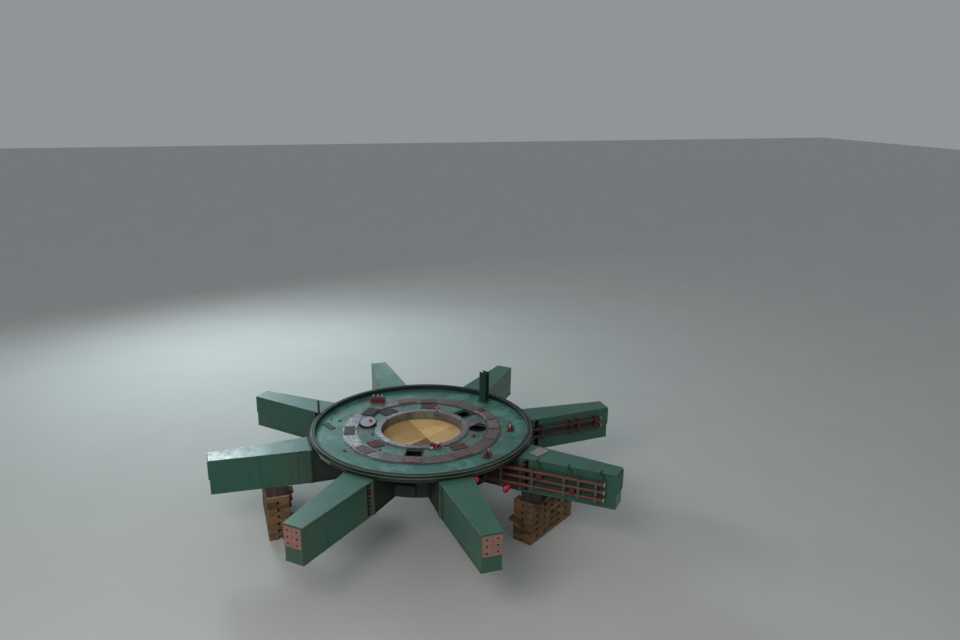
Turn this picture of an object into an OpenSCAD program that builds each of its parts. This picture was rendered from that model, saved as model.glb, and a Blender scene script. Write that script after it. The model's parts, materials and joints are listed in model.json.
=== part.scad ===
// Bearing bracket of a vertical water-turbine generator, standing on timber cribs for overhaul.
// Eight box-girder arms are bolted round a plated hub. Millimetres, +Z up, origin on the floor
// under the hub's centre, arm 1 along +X and the others every 45 degrees anticlockwise.

/* [Levels] */
// Height of the arms' underside above the floor
underside_z = 1300; // [1100:10:1500]
// Depth of the arms, from the top plate's face to the bottom plate's
arm_depth = 806; // [700:2:900]

/* [Arms] */
// Number of arms round the hub
arm_count = 8; // [8:1:8]
// Gap between the rim's band and the joint between an arm and the hub
joint_gap = 5; // [3:1:60]
// Radius of the arms' outer end
arm_tip_r = 4830; // [4500:10:5100]
// Width of an arm at the joint
arm_root_w = 722; // [640:2:740]
// Width of an arm at its outer end
arm_tip_w = 434; // [400:2:560]
// Thickness of the arms' top and bottom plates
arm_plate_t = 30; // [20:1:40]
// Thickness of the arms' side webs
web_t = 25; // [15:1:35]
// How far the webs stand back from the edges of the plates
web_inset = 15; // [8:1:30]
// Length of the open bolting pocket at the root of an arm
pocket_len = 205; // [150:5:300]
// Thickness of each flange of the bolted joint
flange_t = 50; // [30:2:70]
// How far the joint flanges stand proud of the arm's edge, each side
flange_proud = 16; // [5:1:25]

/* [End pads] */
// Thickness of an arm's end plate
end_plate_t = 40; // [25:1:60]
// How far the machined pad stands out of the end plate
pad_proud = 25; // [10:1:40]
// Width of the machined pad
pad_w = 394; // [340:2:396]
// Height of the machined pad
pad_h = 425; // [400:5:500]
// Distance between the two columns of bolt holes
pad_hole_x = 216; // [160:2:260]
// Distance between neighbouring rows of bolt holes
pad_hole_z = 140; // [100:2:150]
// Distance from the pad's top edge to the first row
pad_hole_top = 70; // [50:2:90]
// Diameter of the bolt holes in the pad
pad_hole_d = 36; // [24:1:42]
// Width of the shallow groove down the middle of the pad
pad_groove_w = 40; // [20:2:60]
// Depth of that groove
pad_groove_h = 6; // [3:1:9]

/* [Rim] */
// Outer radius of the raised lip round the deck
lip_r = 2600; // [2560:5:2620]
// Width of the lip
lip_w = 104; // [80:2:130]
// Height of the lip above the deck
lip_h = 116; // [90:2:140]
// Thickness of the band round the foot of the lip
band_t = 15; // [8:1:18]
// Distance from the lip's top down to the band's top edge
band_drop = 70; // [50:2:90]
// Width and depth of the grooves turned in the lip
lip_groove = 12; // [8:1:16]
// Width of the gutter between the deck and the lip
gutter_w = 60; // [40:2:90]
// Depth of that gutter
gutter_h = 15; // [8:1:25]

/* [Deck] */
// Thickness of the deck plates
deck_t = 40; // [30:1:50]
// How far the machined ring reaches past the hub's drum
ring_over = 14; // [10:1:40]
// Width of the machined ring
ring_w = 334; // [300:2:360]
// How far the machined rings stand above the deck
ring_proud = 25; // [15:1:40]
// Width of deck left between a square hatch and the machined rings
hatch_edge = 42; // [40:2:80]
// Width of the flat bars that frame a hatch
hatch_bar_w = 25; // [14:1:26]
// Width of deck left between a round port and the machined rings
port_edge = 11; // [10:1:50]
// Height of the middle of the port's slanted lid above the deck
lid_h = 90; // [70:5:120]
// Slant of that lid
lid_tilt = 14; // [8:1:16]
// Width of the steel plates that lie on the machined ring
ring_pad_w = 440; // [300:10:480]
// Depth of those plates, along the radius
ring_pad_l = 250; // [180:10:280]
// Thickness of the loose plates
loose_t = 16; // [8:1:30]

/* [Hub] */
// Outer radius of the hub's drum
drum_r = 1850; // [1840:2:1860]
// Thickness of the drum's shell
drum_t = 40; // [25:1:50]
// Radius of the machined bore at the top of the well
well_r = 965; // [900:5:980]
// Depth of that bore
well_bore_h = 190; // [120:5:260]
// How far the wall below the bore stands inside it
well_step = 15; // [8:1:25]
// Thickness of the well's wall
well_t = 40; // [25:1:50]
// Outer radius of the machined ring round the well
well_ring_r = 1108; // [1080:2:1120]
// Thickness of the hub's bottom plate
floor_t = 40; // [25:1:50]
// Depth of the cover's edge below the foot of the bore
cover_drop = 8; // [4:1:30]
// How far the cover dips from its edge to its low point
cover_dip = 120; // [60:5:160]
// Thickness of the cover
cover_t = 12; // [6:1:20]
// Width of the cover's flat edge and of the ledge that carries it
ledge_w = 40; // [20:2:60]
// Thickness of that ledge
ledge_t = 20; // [10:1:30]

/* [Cribs] */
// Radius of the middle of the cribs under arms 3 and 5
crib_far_r = 3440; // [3350:10:3600]
// Radius of the middle of the cribs under arms 2 and 8
crib_near_r = 2940; // [2900:10:3200]
// How far the cribs under arms 2 and 8 are turned
crib_turn = 12; // [0:1:15]
// How far a crib stands off its arm's middle line
crib_off = 515; // [400:5:540]
// Height of the dark block between a crib and its arm
block_h = 270; // [200:5:320]
// Length of that block along the arm
block_l = 500; // [400:10:600]
// Width of that block across the arm
block_w = 640; // [560:10:700]
// Number of layers in a crib
crib_layers = 12; // [10:2:14]
// Width of a timber
timber_w = 220; // [180:5:230]
// Number of timbers in a layer that lies across the arm
cross_count = 2; // [2:1:2]
// Number of timbers in a layer that lies along the arm
along_count = 6; // [5:1:7]
// Length of a crib across its arm
crib_l = 1740; // [1700:10:1900]
// Length of a crib along its arm
crib_w = 490; // [480:10:600]
// How far the end timbers of some layers stick out towards the hub
crib_stray = 130; // [0:10:200]

/* [Joint cover] */
// Thickness of the sheet that covers one joint
joint_cover_t = 10; // [6:1:16]
// How far the cover reaches past the pocket along the arm
joint_cover_over = 90; // [20:5:120]
// Distance from the cover's top and bottom edges to the arm's plates' faces
joint_cover_edge = 24; // [0:2:28]

/* [Fittings] */
// Height of the upright post on the deck
post_h = 800; // [600:10:900]
// Width of the post
post_w = 200; // [160:5:240]
// Outer diameter of the oil pipes on the arms
pipe_d = 84; // [60:2:100]
// Gap between the pipes and the arm's web
pipe_gap = 45; // [40:1:60]
// Distance from the hub's drum to the inner end of the pipes
pipe_in_gap = 150; // [100:10:300]
// Distance from the arm's outer end back to the end of the pipes
pipe_end_gap = 230; // [200:10:300]
// Outer diameter of the couplings on the pipes' ends
coupling_d = 104; // [90:2:120]
// Length of a coupling
coupling_l = 70; // [40:5:90]
// Distance between neighbouring rows of pipes
pipe_pitch = 180; // [150:5:200]
// Width of the upright straps that hold the pipes
strap_w = 50; // [30:2:80]
// Thickness of a strap outside the pipes
strap_t = 16; // [8:1:24]
// How far a strap reaches past the outermost pipes
strap_end = 40; // [20:2:60]
// Height of the top row of pipes above the arm's underside
pipe_top = 565; // [520:5:620]
// Diameter of the oil drain that slopes out of the hub
drain_d = 70; // [50:2:90]
// Diameter of the cap on the drain's end
drain_cap_d = 210; // [140:5:240]
// Diameter of the capped pipe that comes out beside arm 7
vent_d = 50; // [40:2:56]
// Diameter of its cap
vent_cap_d = 110; // [80:2:120]
// Diameter of the valve pipe beside the drain
valve_pipe_d = 90; // [60:2:110]
// Diameter of the upright rods with caps beside the well
rod_d = 24; // [16:1:32]
// Diameter of the caps on those rods
rod_cap_d = 56; // [40:2:70]

/* [Hidden] */
arm_top_z = underside_z + arm_depth;
arm_step = 360 / arm_count;
arms = [for (k = [0 : arm_count - 1]) k * arm_step];
fine = 128;
seat = 0.3;
joint_r = lip_r + band_t + joint_gap + flange_t;
pocket_end = joint_r + pocket_len;
covered_arm = 4;
arm_slope = atan((arm_root_w - arm_tip_w) / 2 / (arm_tip_r - joint_r));
pad_top_z = arm_top_z - arm_plate_t - 5;

deck_under_z = arm_top_z - deck_t;
floor_top_z = underside_z + floor_t;
ring_r = drum_r + ring_over;
ring_in_r = ring_r - ring_w;
ring_top_z = arm_top_z + ring_proud;
deck_w = ring_in_r - well_ring_r;
hatch_pcr = (ring_in_r + well_ring_r) / 2;
hatch_w = deck_w - 2 * hatch_edge;
port_d = deck_w - 2 * port_edge;
gutter_in_r = lip_r - lip_w - gutter_w;
hatch_angles = [23, 247];
port_angles = [153, 344];
lid_angle = port_angles[0];
lid_d = port_d + 10;
lid_knob_d = 75;
// The way the lid's slant faces
lid_faces = 250;
stub_in = 200;
panel_w = 480;
panel_proud = 60;
panel_h = 280;
panel_angle = 243;

bore_foot_z = ring_top_z - well_bore_h;
well_low_r = well_r - well_step;
cover_n = 32;
cover_r = well_low_r - 5;
cover_z = bore_foot_z - cover_drop;
cover_low = [136, 73, cover_z - cover_dip];

crib_h = underside_z - block_h;
layer_h = crib_h / crib_layers;
crib_sides = [0, -1, 1, 0, -1, 0, 0, 1];
crib_radii = [0, crib_near_r, crib_far_r, 0, crib_far_r, 0, 0, crib_near_r];
crib_turns = [0, crib_turn, 0, 0, 0, 0, 0, -crib_turn];

pipe_start_r = drum_r + pipe_in_gap;
pipe_end_r = arm_tip_r - pipe_end_gap;
strap_gaps_8 = [-630, 95, 815, 1135, 1515];
strap_gaps_1 = [15, 815, 1045, 1525];
// Distance from the joint, length and row of the junction boxes between the pipes
joint_boxes_8 = [[400, 140, 0], [1165, 120, 1]];
hook_gaps_8 = [380, 1080, 1790];
hook_w = 36;
hook_t = 10;
hook_in = 110;
hook_lean = 35;

ring_pad_angles = [6, 88, 168, 206, 247, 286, 328, 348];
// Angle, width, depth short of the inner deck's and turn of the plates that lie on that deck
deck_plates = [[66.5, 410, 172, 6], [114.5, 410, 78, 2], [202, 330, 112, -8], [293, 370, 172, -16]];
// Angle, width, depth and turn of the plates on the machined ring that reach over its inner edge
edge_plates = [[69, 400, 236, 7], [127.2, 440, 300, 14]];
edge_plate_over = 75;
post_angle = 30.2;
post_edge = 156;
post_foot = [220, 260, 20];
post_depth = 150;
post_plate_t = 16;
// Angle, radius, foot and height of the upright rods
rods = [[52, well_r + 25, ring_top_z, 135], [275.5, well_ring_r + 50, arm_top_z, 140]];
drain_tilt = 23;

// Half the width of an arm's plates at radius r
function arm_half(r) =
    arm_root_w / 2 + (r - joint_r) * (arm_tip_w - arm_root_w) / 2 / (arm_tip_r - joint_r);

function round_point(r, k, z) = [r * cos(k * 360 / cover_n), r * sin(k * 360 / cover_n), z];

// A plan outline of the arm from radius a to radius b, drawn in by inset at both edges
module arm_plan(a, b, inset = 0) {
    polygon([
        [a, -arm_half(a) + inset], [b, -arm_half(b) + inset],
        [b, arm_half(b) - inset], [a, arm_half(a) - inset]
    ]);
}

module ring(r_out, r_in, h) {
    difference() {
        cylinder(r = r_out, h = h, $fn = fine);
        translate([0, 0, -1]) cylinder(r = r_in, h = h + 2, $fn = fine);
    }
}

module place_arm(k) {
    rotate([0, 0, arms[k]]) children();
}

module pad_holes() {
    top_row_z = pad_top_z - pad_hole_top;
    for (side = [-1, 1], row = [0 : 2])
        translate([arm_tip_r - end_plate_t - 1, side * pad_hole_x / 2, top_row_z - row * pad_hole_z])
            rotate([0, 90, 0]) cylinder(d = pad_hole_d, h = end_plate_t + pad_proud + 2, $fn = 24);
}

// The machined pads on the arms' end plates
module end_pads() {
    color([0.62, 0.50, 0.50]) for (k = [0 : arm_count - 1]) place_arm(k) difference() {
        translate([arm_tip_r, -pad_w / 2, pad_top_z - pad_h]) cube([pad_proud, pad_w, pad_h]);
        translate([arm_tip_r + pad_proud - pad_groove_h, -pad_groove_w / 2, pad_top_z - pad_h - 1])
            cube([pad_groove_h + 1, pad_groove_w, pad_h + 2]);
        pad_holes();
    }
}

module arm_box() {
    difference() {
        linear_extrude(arm_depth) arm_plan(pocket_end, arm_tip_r, web_inset);
        translate([0, 0, arm_plate_t]) linear_extrude(arm_depth - 2 * arm_plate_t)
            arm_plan(pocket_end + web_t, arm_tip_r - end_plate_t, web_inset + web_t);
    }
}

// A shallow box that covers the pocket and the joint on one side of arm 5
module joint_cover() {
    high = arm_depth - 2 * joint_cover_edge;
    half = arm_root_w / 2 + flange_proud;
    end_r = pocket_end + joint_cover_over;
    deep = half - arm_half(end_r) + web_inset + 1;
    translate([joint_r, half, joint_cover_edge]) cube([end_r - joint_r, joint_cover_t, high]);
    translate([end_r - joint_cover_t, half - deep, joint_cover_edge])
        cube([joint_cover_t, deep + joint_cover_t, high]);
}

module arm(k) {
    color([0.17, 0.42, 0.34]) place_arm(k) difference() {
        translate([0, 0, underside_z]) {
            arm_box();
            if (k == covered_arm) joint_cover();
            for (z = [0, arm_depth - arm_plate_t])
                translate([0, 0, z]) linear_extrude(arm_plate_t) arm_plan(joint_r, arm_tip_r);
            translate([joint_r, -arm_root_w / 2 - flange_proud, 0])
                cube([flange_t, arm_root_w + 2 * flange_proud, arm_depth]);
            translate([joint_r, -web_t / 2, 0]) cube([pocket_len + 1, web_t, arm_depth]);
        }
        pad_holes();
    }
}

module stub(k) {
    half = arm_root_w / 2 - web_inset;
    color([0.15, 0.36, 0.30]) place_arm(k) difference() {
        translate([0, 0, underside_z]) {
            for (side = [-1, 1])
                translate([drum_r - stub_in, side * (half - web_t / 2) - web_t / 2, 0])
                    cube([joint_r - drum_r + stub_in - 1, web_t, arm_depth - deck_t]);
            translate([drum_r - stub_in, -half - web_inset, 0])
                cube([joint_r - drum_r + stub_in - 1, 2 * (half + web_inset), arm_plate_t]);
            translate([joint_r - flange_t, -arm_root_w / 2 - flange_proud, 0])
                cube([flange_t, arm_root_w + 2 * flange_proud, arm_depth]);
        }
        translate([0, 0, underside_z - 1]) cylinder(r = drum_r + seat, h = arm_depth + 2, $fn = fine);
    }
}

// The drum's wall, with a flat panel on it between arms 6 and 7
module drum_shell() {
    color([0.13, 0.30, 0.25]) translate([0, 0, floor_top_z]) {
        ring(drum_r, drum_r - drum_t, deck_under_z - floor_top_z);
        rotate([0, 0, panel_angle]) translate([drum_r - drum_t / 2, -panel_w / 2, 0])
            cube([drum_t / 2 + panel_proud, panel_w, panel_h]);
    }
}

module drum_floor() {
    color([0.12, 0.27, 0.23]) translate([0, 0, underside_z]) ring(drum_r, well_low_r, floor_t);
}

module drum_ribs() {
    color([0.14, 0.30, 0.26])
        intersection() {
            for (k = [0 : arm_count - 1])
                place_arm(k) translate([well_r, -web_t / 2, floor_top_z])
                    cube([drum_r - well_r, web_t, deck_under_z - floor_top_z]);
            translate([0, 0, floor_top_z - 1])
                ring(drum_r - drum_t - seat, well_r + well_t + seat, deck_under_z - floor_top_z + 2);
        }
}

// The well's wall, with its bore at the top and the ledge that carries the cover
module well_wall() {
    color([0.42, 0.45, 0.42]) difference() {
        union() {
            translate([0, 0, floor_top_z]) ring(well_r + well_t, well_low_r, deck_under_z - floor_top_z);
            translate([0, 0, cover_z - cover_t - ledge_t]) ring(well_r, well_low_r - ledge_w, ledge_t);
        }
        translate([0, 0, bore_foot_z]) cylinder(r = well_r, h = well_bore_h, $fn = fine);
    }
}

module well_ring() {
    color([0.55, 0.56, 0.58]) translate([0, 0, deck_under_z])
        ring(well_ring_r, well_r, deck_t + ring_proud);
}

// The loose cover: a flat edge that lies on the ledge, and a shallow cone to an off-centre low point
module well_cover() {
    outer = [for (k = [0 : cover_n - 1]) round_point(cover_r, k, cover_z)];
    inner = [for (k = [0 : cover_n - 1]) round_point(cover_r - ledge_w, k, cover_z)];
    top = concat(outer, inner, [cover_low]);
    under = [for (p = top) p - [0, 0, cover_t]];
    n = cover_n;
    low = 2 * n;
    step = low + 1;
    upper_faces = [for (k = [0 : n - 1]) let (j = (k + 1) % n)
        each [[k, n + k, n + j], [k, n + j, j], [n + k, low, n + j]]];
    lower_faces = [for (f = upper_faces) [f[2] + step, f[1] + step, f[0] + step]];
    edge_faces = [for (k = [0 : n - 1]) let (j = (k + 1) % n)
        each [[k, j, j + step], [k, j + step, k + step]]];
    color([0.72, 0.62, 0.38])
        polyhedron(points = concat(top, under), faces = concat(upper_faces, lower_faces, edge_faces));
}

module inner_deck() {
    color([0.25, 0.46, 0.40]) difference() {
        translate([0, 0, deck_under_z]) ring(ring_in_r - seat, well_ring_r + seat, deck_t);
        for (a = hatch_angles)
            rotate([0, 0, a]) translate([hatch_pcr - hatch_w / 2, -hatch_w / 2, deck_under_z - 1])
                cube([hatch_w, hatch_w, deck_t + 2]);
        for (a = port_angles)
            rotate([0, 0, a]) translate([hatch_pcr, 0, deck_under_z - 1])
                cylinder(d = port_d, h = deck_t + 2, $fn = 64);
    }
}

module machined_ring() {
    color([0.50, 0.46, 0.47]) translate([0, 0, deck_under_z])
        ring(ring_r, ring_in_r, deck_t + ring_proud);
}

module outer_deck() {
    color([0.27, 0.50, 0.45]) difference() {
        translate([0, 0, deck_under_z]) ring(lip_r, ring_r + seat, deck_t);
        translate([0, 0, arm_top_z - gutter_h]) ring(lip_r - lip_w, gutter_in_r, gutter_h + 1);
    }
}

module rim_lip() {
    mid = lip_r - lip_w / 2;
    color([0.20, 0.33, 0.29]) translate([0, 0, arm_top_z]) difference() {
        ring(lip_r, lip_r - lip_w, lip_h);
        translate([0, 0, lip_h - lip_groove]) ring(mid + lip_groove, mid - lip_groove, lip_groove + 1);
    }
}

module rim_band() {
    color([0.24, 0.40, 0.33]) translate([0, 0, deck_under_z])
        ring(lip_r + band_t, lip_r + seat, deck_t + lip_h - band_drop);
}

module port_lid() {
    color([0.42, 0.55, 0.52]) rotate([0, 0, lid_angle]) translate([hatch_pcr, 0, arm_top_z])
        rotate([0, 0, lid_faces - lid_angle]) {
            difference() {
                cylinder(d = lid_d, h = 2 * lid_h, $fn = 64);
                translate([0, 0, lid_h]) rotate([0, lid_tilt, 0]) translate([-lid_d, -lid_d, 0])
                    cube([2 * lid_d, 2 * lid_d, 2 * lid_h]);
            }
            translate([0, 0, lid_h]) rotate([0, lid_tilt, 0]) translate([0, lid_d / 6, -lid_h / 2])
                cylinder(d = lid_knob_d, h = lid_h, $fn = 32);
        }
}

// An upright of I section on a foot plate
module deck_post() {
    color([0.16, 0.36, 0.28])
    rotate([0, 0, post_angle]) translate([gutter_in_r - post_edge, 0, arm_top_z]) {
        translate([-post_foot[0] / 2, -post_foot[1] / 2, 0]) cube(post_foot);
        for (x = [-post_depth / 2, post_depth / 2 - post_plate_t])
            translate([x, -post_w / 2, 0]) cube([post_plate_t, post_w, post_h]);
        translate([-post_depth / 2, -post_plate_t / 2, 0]) cube([post_depth, post_plate_t, post_h]);
    }
}

module flat_plate(w, d) {
    translate([-d / 2, -w / 2, 0]) cube([d, w, loose_t]);
}

// Four flat bars round a hatch, butted at its corners
module hatch_frame() {
    for (turn = [0 : 90 : 270])
        rotate([0, 0, turn]) translate([hatch_w / 2, -hatch_w / 2 - hatch_bar_w, 0])
            cube([hatch_bar_w, hatch_w + hatch_bar_w - seat, loose_t]);
}

// Steel plates that lie loose on the machined ring, on the decks and on arm 8
module loose_plates() {
    color([0.40, 0.36, 0.36]) {
        for (a = ring_pad_angles)
            rotate([0, 0, a]) translate([ring_r - ring_w / 2, 0, ring_top_z])
                flat_plate(ring_pad_w, ring_pad_l);
        for (p = deck_plates)
            rotate([0, 0, p[0]]) translate([hatch_pcr, 0, arm_top_z]) rotate([0, 0, p[3]])
                flat_plate(p[1], deck_w - p[2]);
        for (p = edge_plates)
            rotate([0, 0, p[0]]) translate([ring_in_r + edge_plate_over, 0, ring_top_z])
                rotate([0, 0, p[3]]) flat_plate(p[1], p[2]);
        for (a = hatch_angles)
            rotate([0, 0, a]) translate([hatch_pcr, 0, arm_top_z]) hatch_frame();
        rotate([0, 0, 159]) translate([gutter_in_r - 225, 0, arm_top_z]) rotate([0, 0, -50])
            flat_plate(150, 370);
        place_arm(7) translate([joint_r + 280, 85, arm_top_z]) rotate([0, 0, -17]) flat_plate(390, 270);
    }
}

// A small pump: a body, a round cap and a side arm
module hand_pump(size) {
    translate([-size / 2, -size / 2, 0]) cube([size, size, 0.3 * size]);
    cylinder(d1 = 0.6 * size, d2 = 0.3 * size, h = 0.9 * size, $fn = 24);
}

// A low bracket with two round pots
module pot_bracket() {
    translate([-45, -120, 0]) cube([90, 240, 35]);
    for (y = [-70, 70])
        translate([0, y, 0]) cylinder(d = 80, h = 80, $fn = 24);
}

// A bank of three valves, small pumps, a bracket, and upright rods with caps beside the well
module deck_fittings() {
    color([0.42, 0.14, 0.12]) {
        rotate([0, 0, 108]) translate([ring_r + 197, 0, arm_top_z]) rotate([0, 0, -37]) {
            translate([-70, -190, 0]) cube([140, 380, 80]);
            for (y = [-110, 0, 110])
                translate([0, y, 0]) cylinder(d = 44, h = 180, $fn = 24);
        }
        rotate([0, 0, 340.3]) translate([ring_r + 232, 0, arm_top_z]) hand_pump(150);
        rotate([0, 0, 298]) translate([ring_r + 222, 0, arm_top_z]) rotate([0, 0, 30]) hand_pump(140);
        rotate([0, 0, 322]) translate([hatch_pcr - 30, 0, arm_top_z]) hand_pump(90);
        rotate([0, 0, 271]) translate([(well_r + well_ring_r) / 2, 0, ring_top_z]) pot_bracket();
        for (rod = rods)
            rotate([0, 0, rod[0]]) translate([rod[1], 0, rod[2]]) {
                cylinder(d = rod_d, h = rod[3], $fn = 24);
                translate([0, 0, rod[3] - rod_cap_d]) cylinder(d = rod_cap_d, h = rod_cap_d, $fn = 24);
            }
    }
}

// The sloping oil drain, the valve pipe and a straight pipe with a cap, all between arms 7 and 8
module capped_pipes() {
    drain_l = lip_r - drum_r + 90;
    drain_off = drain_d / 2 * sin(drain_tilt) + seat;
    vent_y = arm_root_w / 2 + flange_proud + vent_cap_d / 2 + 2;
    vent_x = sqrt(pow(drum_r + seat, 2) - pow(vent_y - vent_d / 2, 2));
    vent_l = lip_r + band_t - vent_x + 90;
    color([0.45, 0.12, 0.12]) {
        rotate([0, 0, 299.7]) translate([drum_r + drain_off, 0, underside_z + 480])
        rotate([0, 90 + drain_tilt, 0]) {
            cylinder(d = drain_d, h = drain_l, $fn = 24);
            translate([0, 0, drain_l - drain_d]) cylinder(d = drain_cap_d, h = drain_d, $fn = 32);
        }
        rotate([0, 0, 294.5]) translate([drum_r + seat, 0, underside_z + 330]) {
            rotate([0, 90, 0]) cylinder(d = valve_pipe_d, h = 300, $fn = 24);
            translate([260, 0, 0]) rotate([0, 90, 0]) cylinder(d = 1.8 * valve_pipe_d, h = 40, $fn = 32);
            translate([190, 0, 0]) cylinder(d = 0.5 * valve_pipe_d, h = 230, $fn = 24);
            translate([190, 0, 200]) cylinder(d = 2 * valve_pipe_d, h = 30, $fn = 32);
        }
        place_arm(6) translate([vent_x, vent_y, deck_under_z - vent_d / 2 - 2]) rotate([0, 90, 0]) {
            cylinder(d = vent_d, h = vent_l, $fn = 24);
            translate([0, 0, vent_l - vent_d]) cylinder(d = vent_cap_d, h = vent_d, $fn = 32);
        }
    }
}

// One crib: layers of timbers lying across the arm, and layers of short ones between them
module crib(k) {
    cross_gap = (crib_w - cross_count * timber_w) / (cross_count - 1);
    along_gap = (crib_l - along_count * timber_w) / (along_count - 1);
    color([0.42, 0.31, 0.20]) place_arm(k) translate([crib_radii[k], crib_sides[k] * crib_off, 0])
        rotate([0, 0, crib_turns[k]]) translate([-crib_w / 2, -crib_l / 2, 0])
            for (layer = [0 : crib_layers - 1])
                if (layer % 2 == 0)
                    for (i = [0 : cross_count - 1])
                        translate([i * (timber_w + cross_gap), 0, layer * layer_h])
                            cube([timber_w, crib_l, layer_h]);
                else
                    for (i = [0 : along_count - 1]) {
                        out = (i + layer) % 5 == 0 ? crib_stray : 0;
                        translate([-out, i * (timber_w + along_gap), layer * layer_h])
                            cube([crib_w + out, timber_w, layer_h]);
                    }
}

module block(k) {
    color([0.20, 0.18, 0.17]) place_arm(k)
        translate([crib_radii[k] - block_l / 2, -block_w / 2, crib_h]) cube([block_l, block_w, block_h]);
}

// Moves its children to where the top pipe's middle line passes the joint, with X along the pipe
module along_web(k) {
    place_arm(k) translate([joint_r, web_inset - arm_half(joint_r), underside_z + pipe_top])
        rotate([0, 0, arm_slope]) children();
}

// Rows of oil pipes along the side of an arm, with couplings on their outer ends
module arm_pipes(k, rows, boxes) {
    run = pipe_end_r - pipe_start_r;
    color([0.36, 0.15, 0.12]) along_web(k) translate([pipe_start_r - joint_r, -pipe_gap - pipe_d / 2, 0]) {
        for (row = [0 : rows - 1])
            translate([0, 0, -row * pipe_pitch]) rotate([0, 90, 0]) {
                cylinder(d = pipe_d, h = run, $fn = 24);
                translate([0, 0, run - coupling_l]) cylinder(d = coupling_d, h = coupling_l, $fn = 24);
            }
        for (b = boxes)
            translate([joint_r - pipe_start_r + b[0], -pipe_d / 2, -(b[2] + 1) * pipe_pitch])
                cube([b[1], pipe_d, pipe_pitch]);
    }
}

// Upright straps that hold the pipes to the web
module arm_clamps(k, rows, gaps) {
    low = -(rows - 1) * pipe_pitch - pipe_d / 2 - strap_end;
    out = pipe_gap + pipe_d + strap_t;
    color([0.40, 0.42, 0.38]) along_web(k) for (gap = gaps) difference() {
        back = max(0, -pocket_len - gap - strap_w) * tan(arm_slope) - seat;
        translate([pocket_len + gap, -out, low])
            cube([strap_w, out + back, pipe_d / 2 + strap_end - low]);
        for (row = [0 : rows - 1])
            translate([pocket_len + gap - 1, -pipe_gap - pipe_d / 2, -row * pipe_pitch]) rotate([0, 90, 0])
                cylinder(d = pipe_d + 2 * seat, h = strap_w + 2, $fn = 24);
    }
}

// Bars bent over the edge of the arm's top plate, from which the pipes hang
module arm_hooks(k, gaps) {
    top = arm_depth - pipe_top + hook_t;
    reach = web_inset + pipe_gap;
    low = pipe_d / 2 + strap_end + seat;
    drop = (top - low - hook_w * sin(hook_lean)) / cos(hook_lean);
    color([0.40, 0.42, 0.38]) along_web(k) for (gap = gaps) translate([gap, -reach, top]) {
        translate([0, 0, -hook_t]) cube([hook_w, reach + hook_in, hook_t]);
        rotate([0, -hook_lean, 0]) translate([0, 0, -drop]) cube([hook_w, hook_t, drop]);
    }
}

arm(0);  // arm_1
arm(1);  // arm_2
arm(2);  // arm_3
arm(3);  // arm_4
arm(4);  // arm_5
arm(5);  // arm_6
arm(6);  // arm_7
arm(7);  // arm_8
stub(0);  // stub_1
stub(1);  // stub_2
stub(2);  // stub_3
stub(3);  // stub_4
stub(4);  // stub_5
stub(5);  // stub_6
stub(6);  // stub_7
stub(7);  // stub_8
drum_shell();
drum_floor();
drum_ribs();
well_wall();
well_ring();
well_cover();
inner_deck();
machined_ring();
outer_deck();
rim_lip();
rim_band();
port_lid();
deck_post();
end_pads();
loose_plates();
deck_fittings();
capped_pipes();
crib(1);  // crib_2
crib(2);  // crib_3
crib(4);  // crib_5
crib(7);  // crib_8
block(1);  // block_2
block(2);  // block_3
block(4);  // block_5
block(7);  // block_8
arm_pipes(7, 3, joint_boxes_8);  // pipes_8
union() {  // clamps_8
    arm_clamps(7, 3, strap_gaps_8);
    arm_hooks(7, hook_gaps_8);
}
arm_pipes(0, 2, []);  // pipes_1
arm_clamps(0, 2, strap_gaps_1);  // clamps_1
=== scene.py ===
import json
import math
import random
from itertools import chain, product

import bmesh
import bpy
from mathutils import Matrix, Vector


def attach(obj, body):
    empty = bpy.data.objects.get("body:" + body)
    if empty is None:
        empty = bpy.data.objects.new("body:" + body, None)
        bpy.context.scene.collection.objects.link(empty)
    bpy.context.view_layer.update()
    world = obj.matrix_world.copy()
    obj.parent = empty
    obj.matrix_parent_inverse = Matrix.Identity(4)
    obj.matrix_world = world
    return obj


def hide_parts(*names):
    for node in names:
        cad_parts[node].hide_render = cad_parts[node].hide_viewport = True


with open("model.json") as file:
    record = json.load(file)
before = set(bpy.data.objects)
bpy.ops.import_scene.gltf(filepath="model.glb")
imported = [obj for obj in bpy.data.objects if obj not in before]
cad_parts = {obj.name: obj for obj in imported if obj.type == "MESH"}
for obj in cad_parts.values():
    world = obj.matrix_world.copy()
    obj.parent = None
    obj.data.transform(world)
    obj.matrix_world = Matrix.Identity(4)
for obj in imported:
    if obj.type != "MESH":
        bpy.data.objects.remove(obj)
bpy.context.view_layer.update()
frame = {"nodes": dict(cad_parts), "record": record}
nodes = frame["nodes"]

# Sizes that repeat the CAD's, in metres: _R radii from the hub's axis, _W widths, _T thicknesses
UNDER, TOP = 1.300, 2.106
JOINT_R, TIP_R, POCKET_END = 2.670, 4.830, 2.875
FLANGE_FACE, FLANGE_BACK = JOINT_R + 0.050, JOINT_R - 0.100
ROOT_W, TIP_W, WEB_INSET, PLATE_T, WEB_T = 0.722, 0.434, 0.015, 0.030, 0.025
PAD_T, PAD_MID = 0.025, TOP - 0.245
RING_TOP = 2.131
RING_IN, RING_OUT = 1.530, 1.864
WELL_R, WELL_RING_R, HATCH_R = 0.965, 1.108, 1.319
HATCH_W, HATCH_BAR, LOOSE_T = 0.338, 0.025, 0.016
GUTTER_R, LIP_IN, LIP_R, LIP_TOP = 2.436, 2.496, 2.600, 2.222
DECK_UNDER, BAND_R, BAND_TOP, DRUM_R = 2.066, 2.615, 2.152, 1.850
TAPER = (ROOT_W - TIP_W) / 2 / (TIP_R - JOINT_R)
ARM_SLOPE = math.degrees(math.atan(TAPER))
SEAT = 0.0003
ARMS, SIDES = range(8), (-1, 1)
UNIT = Matrix.Identity(4)


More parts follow.
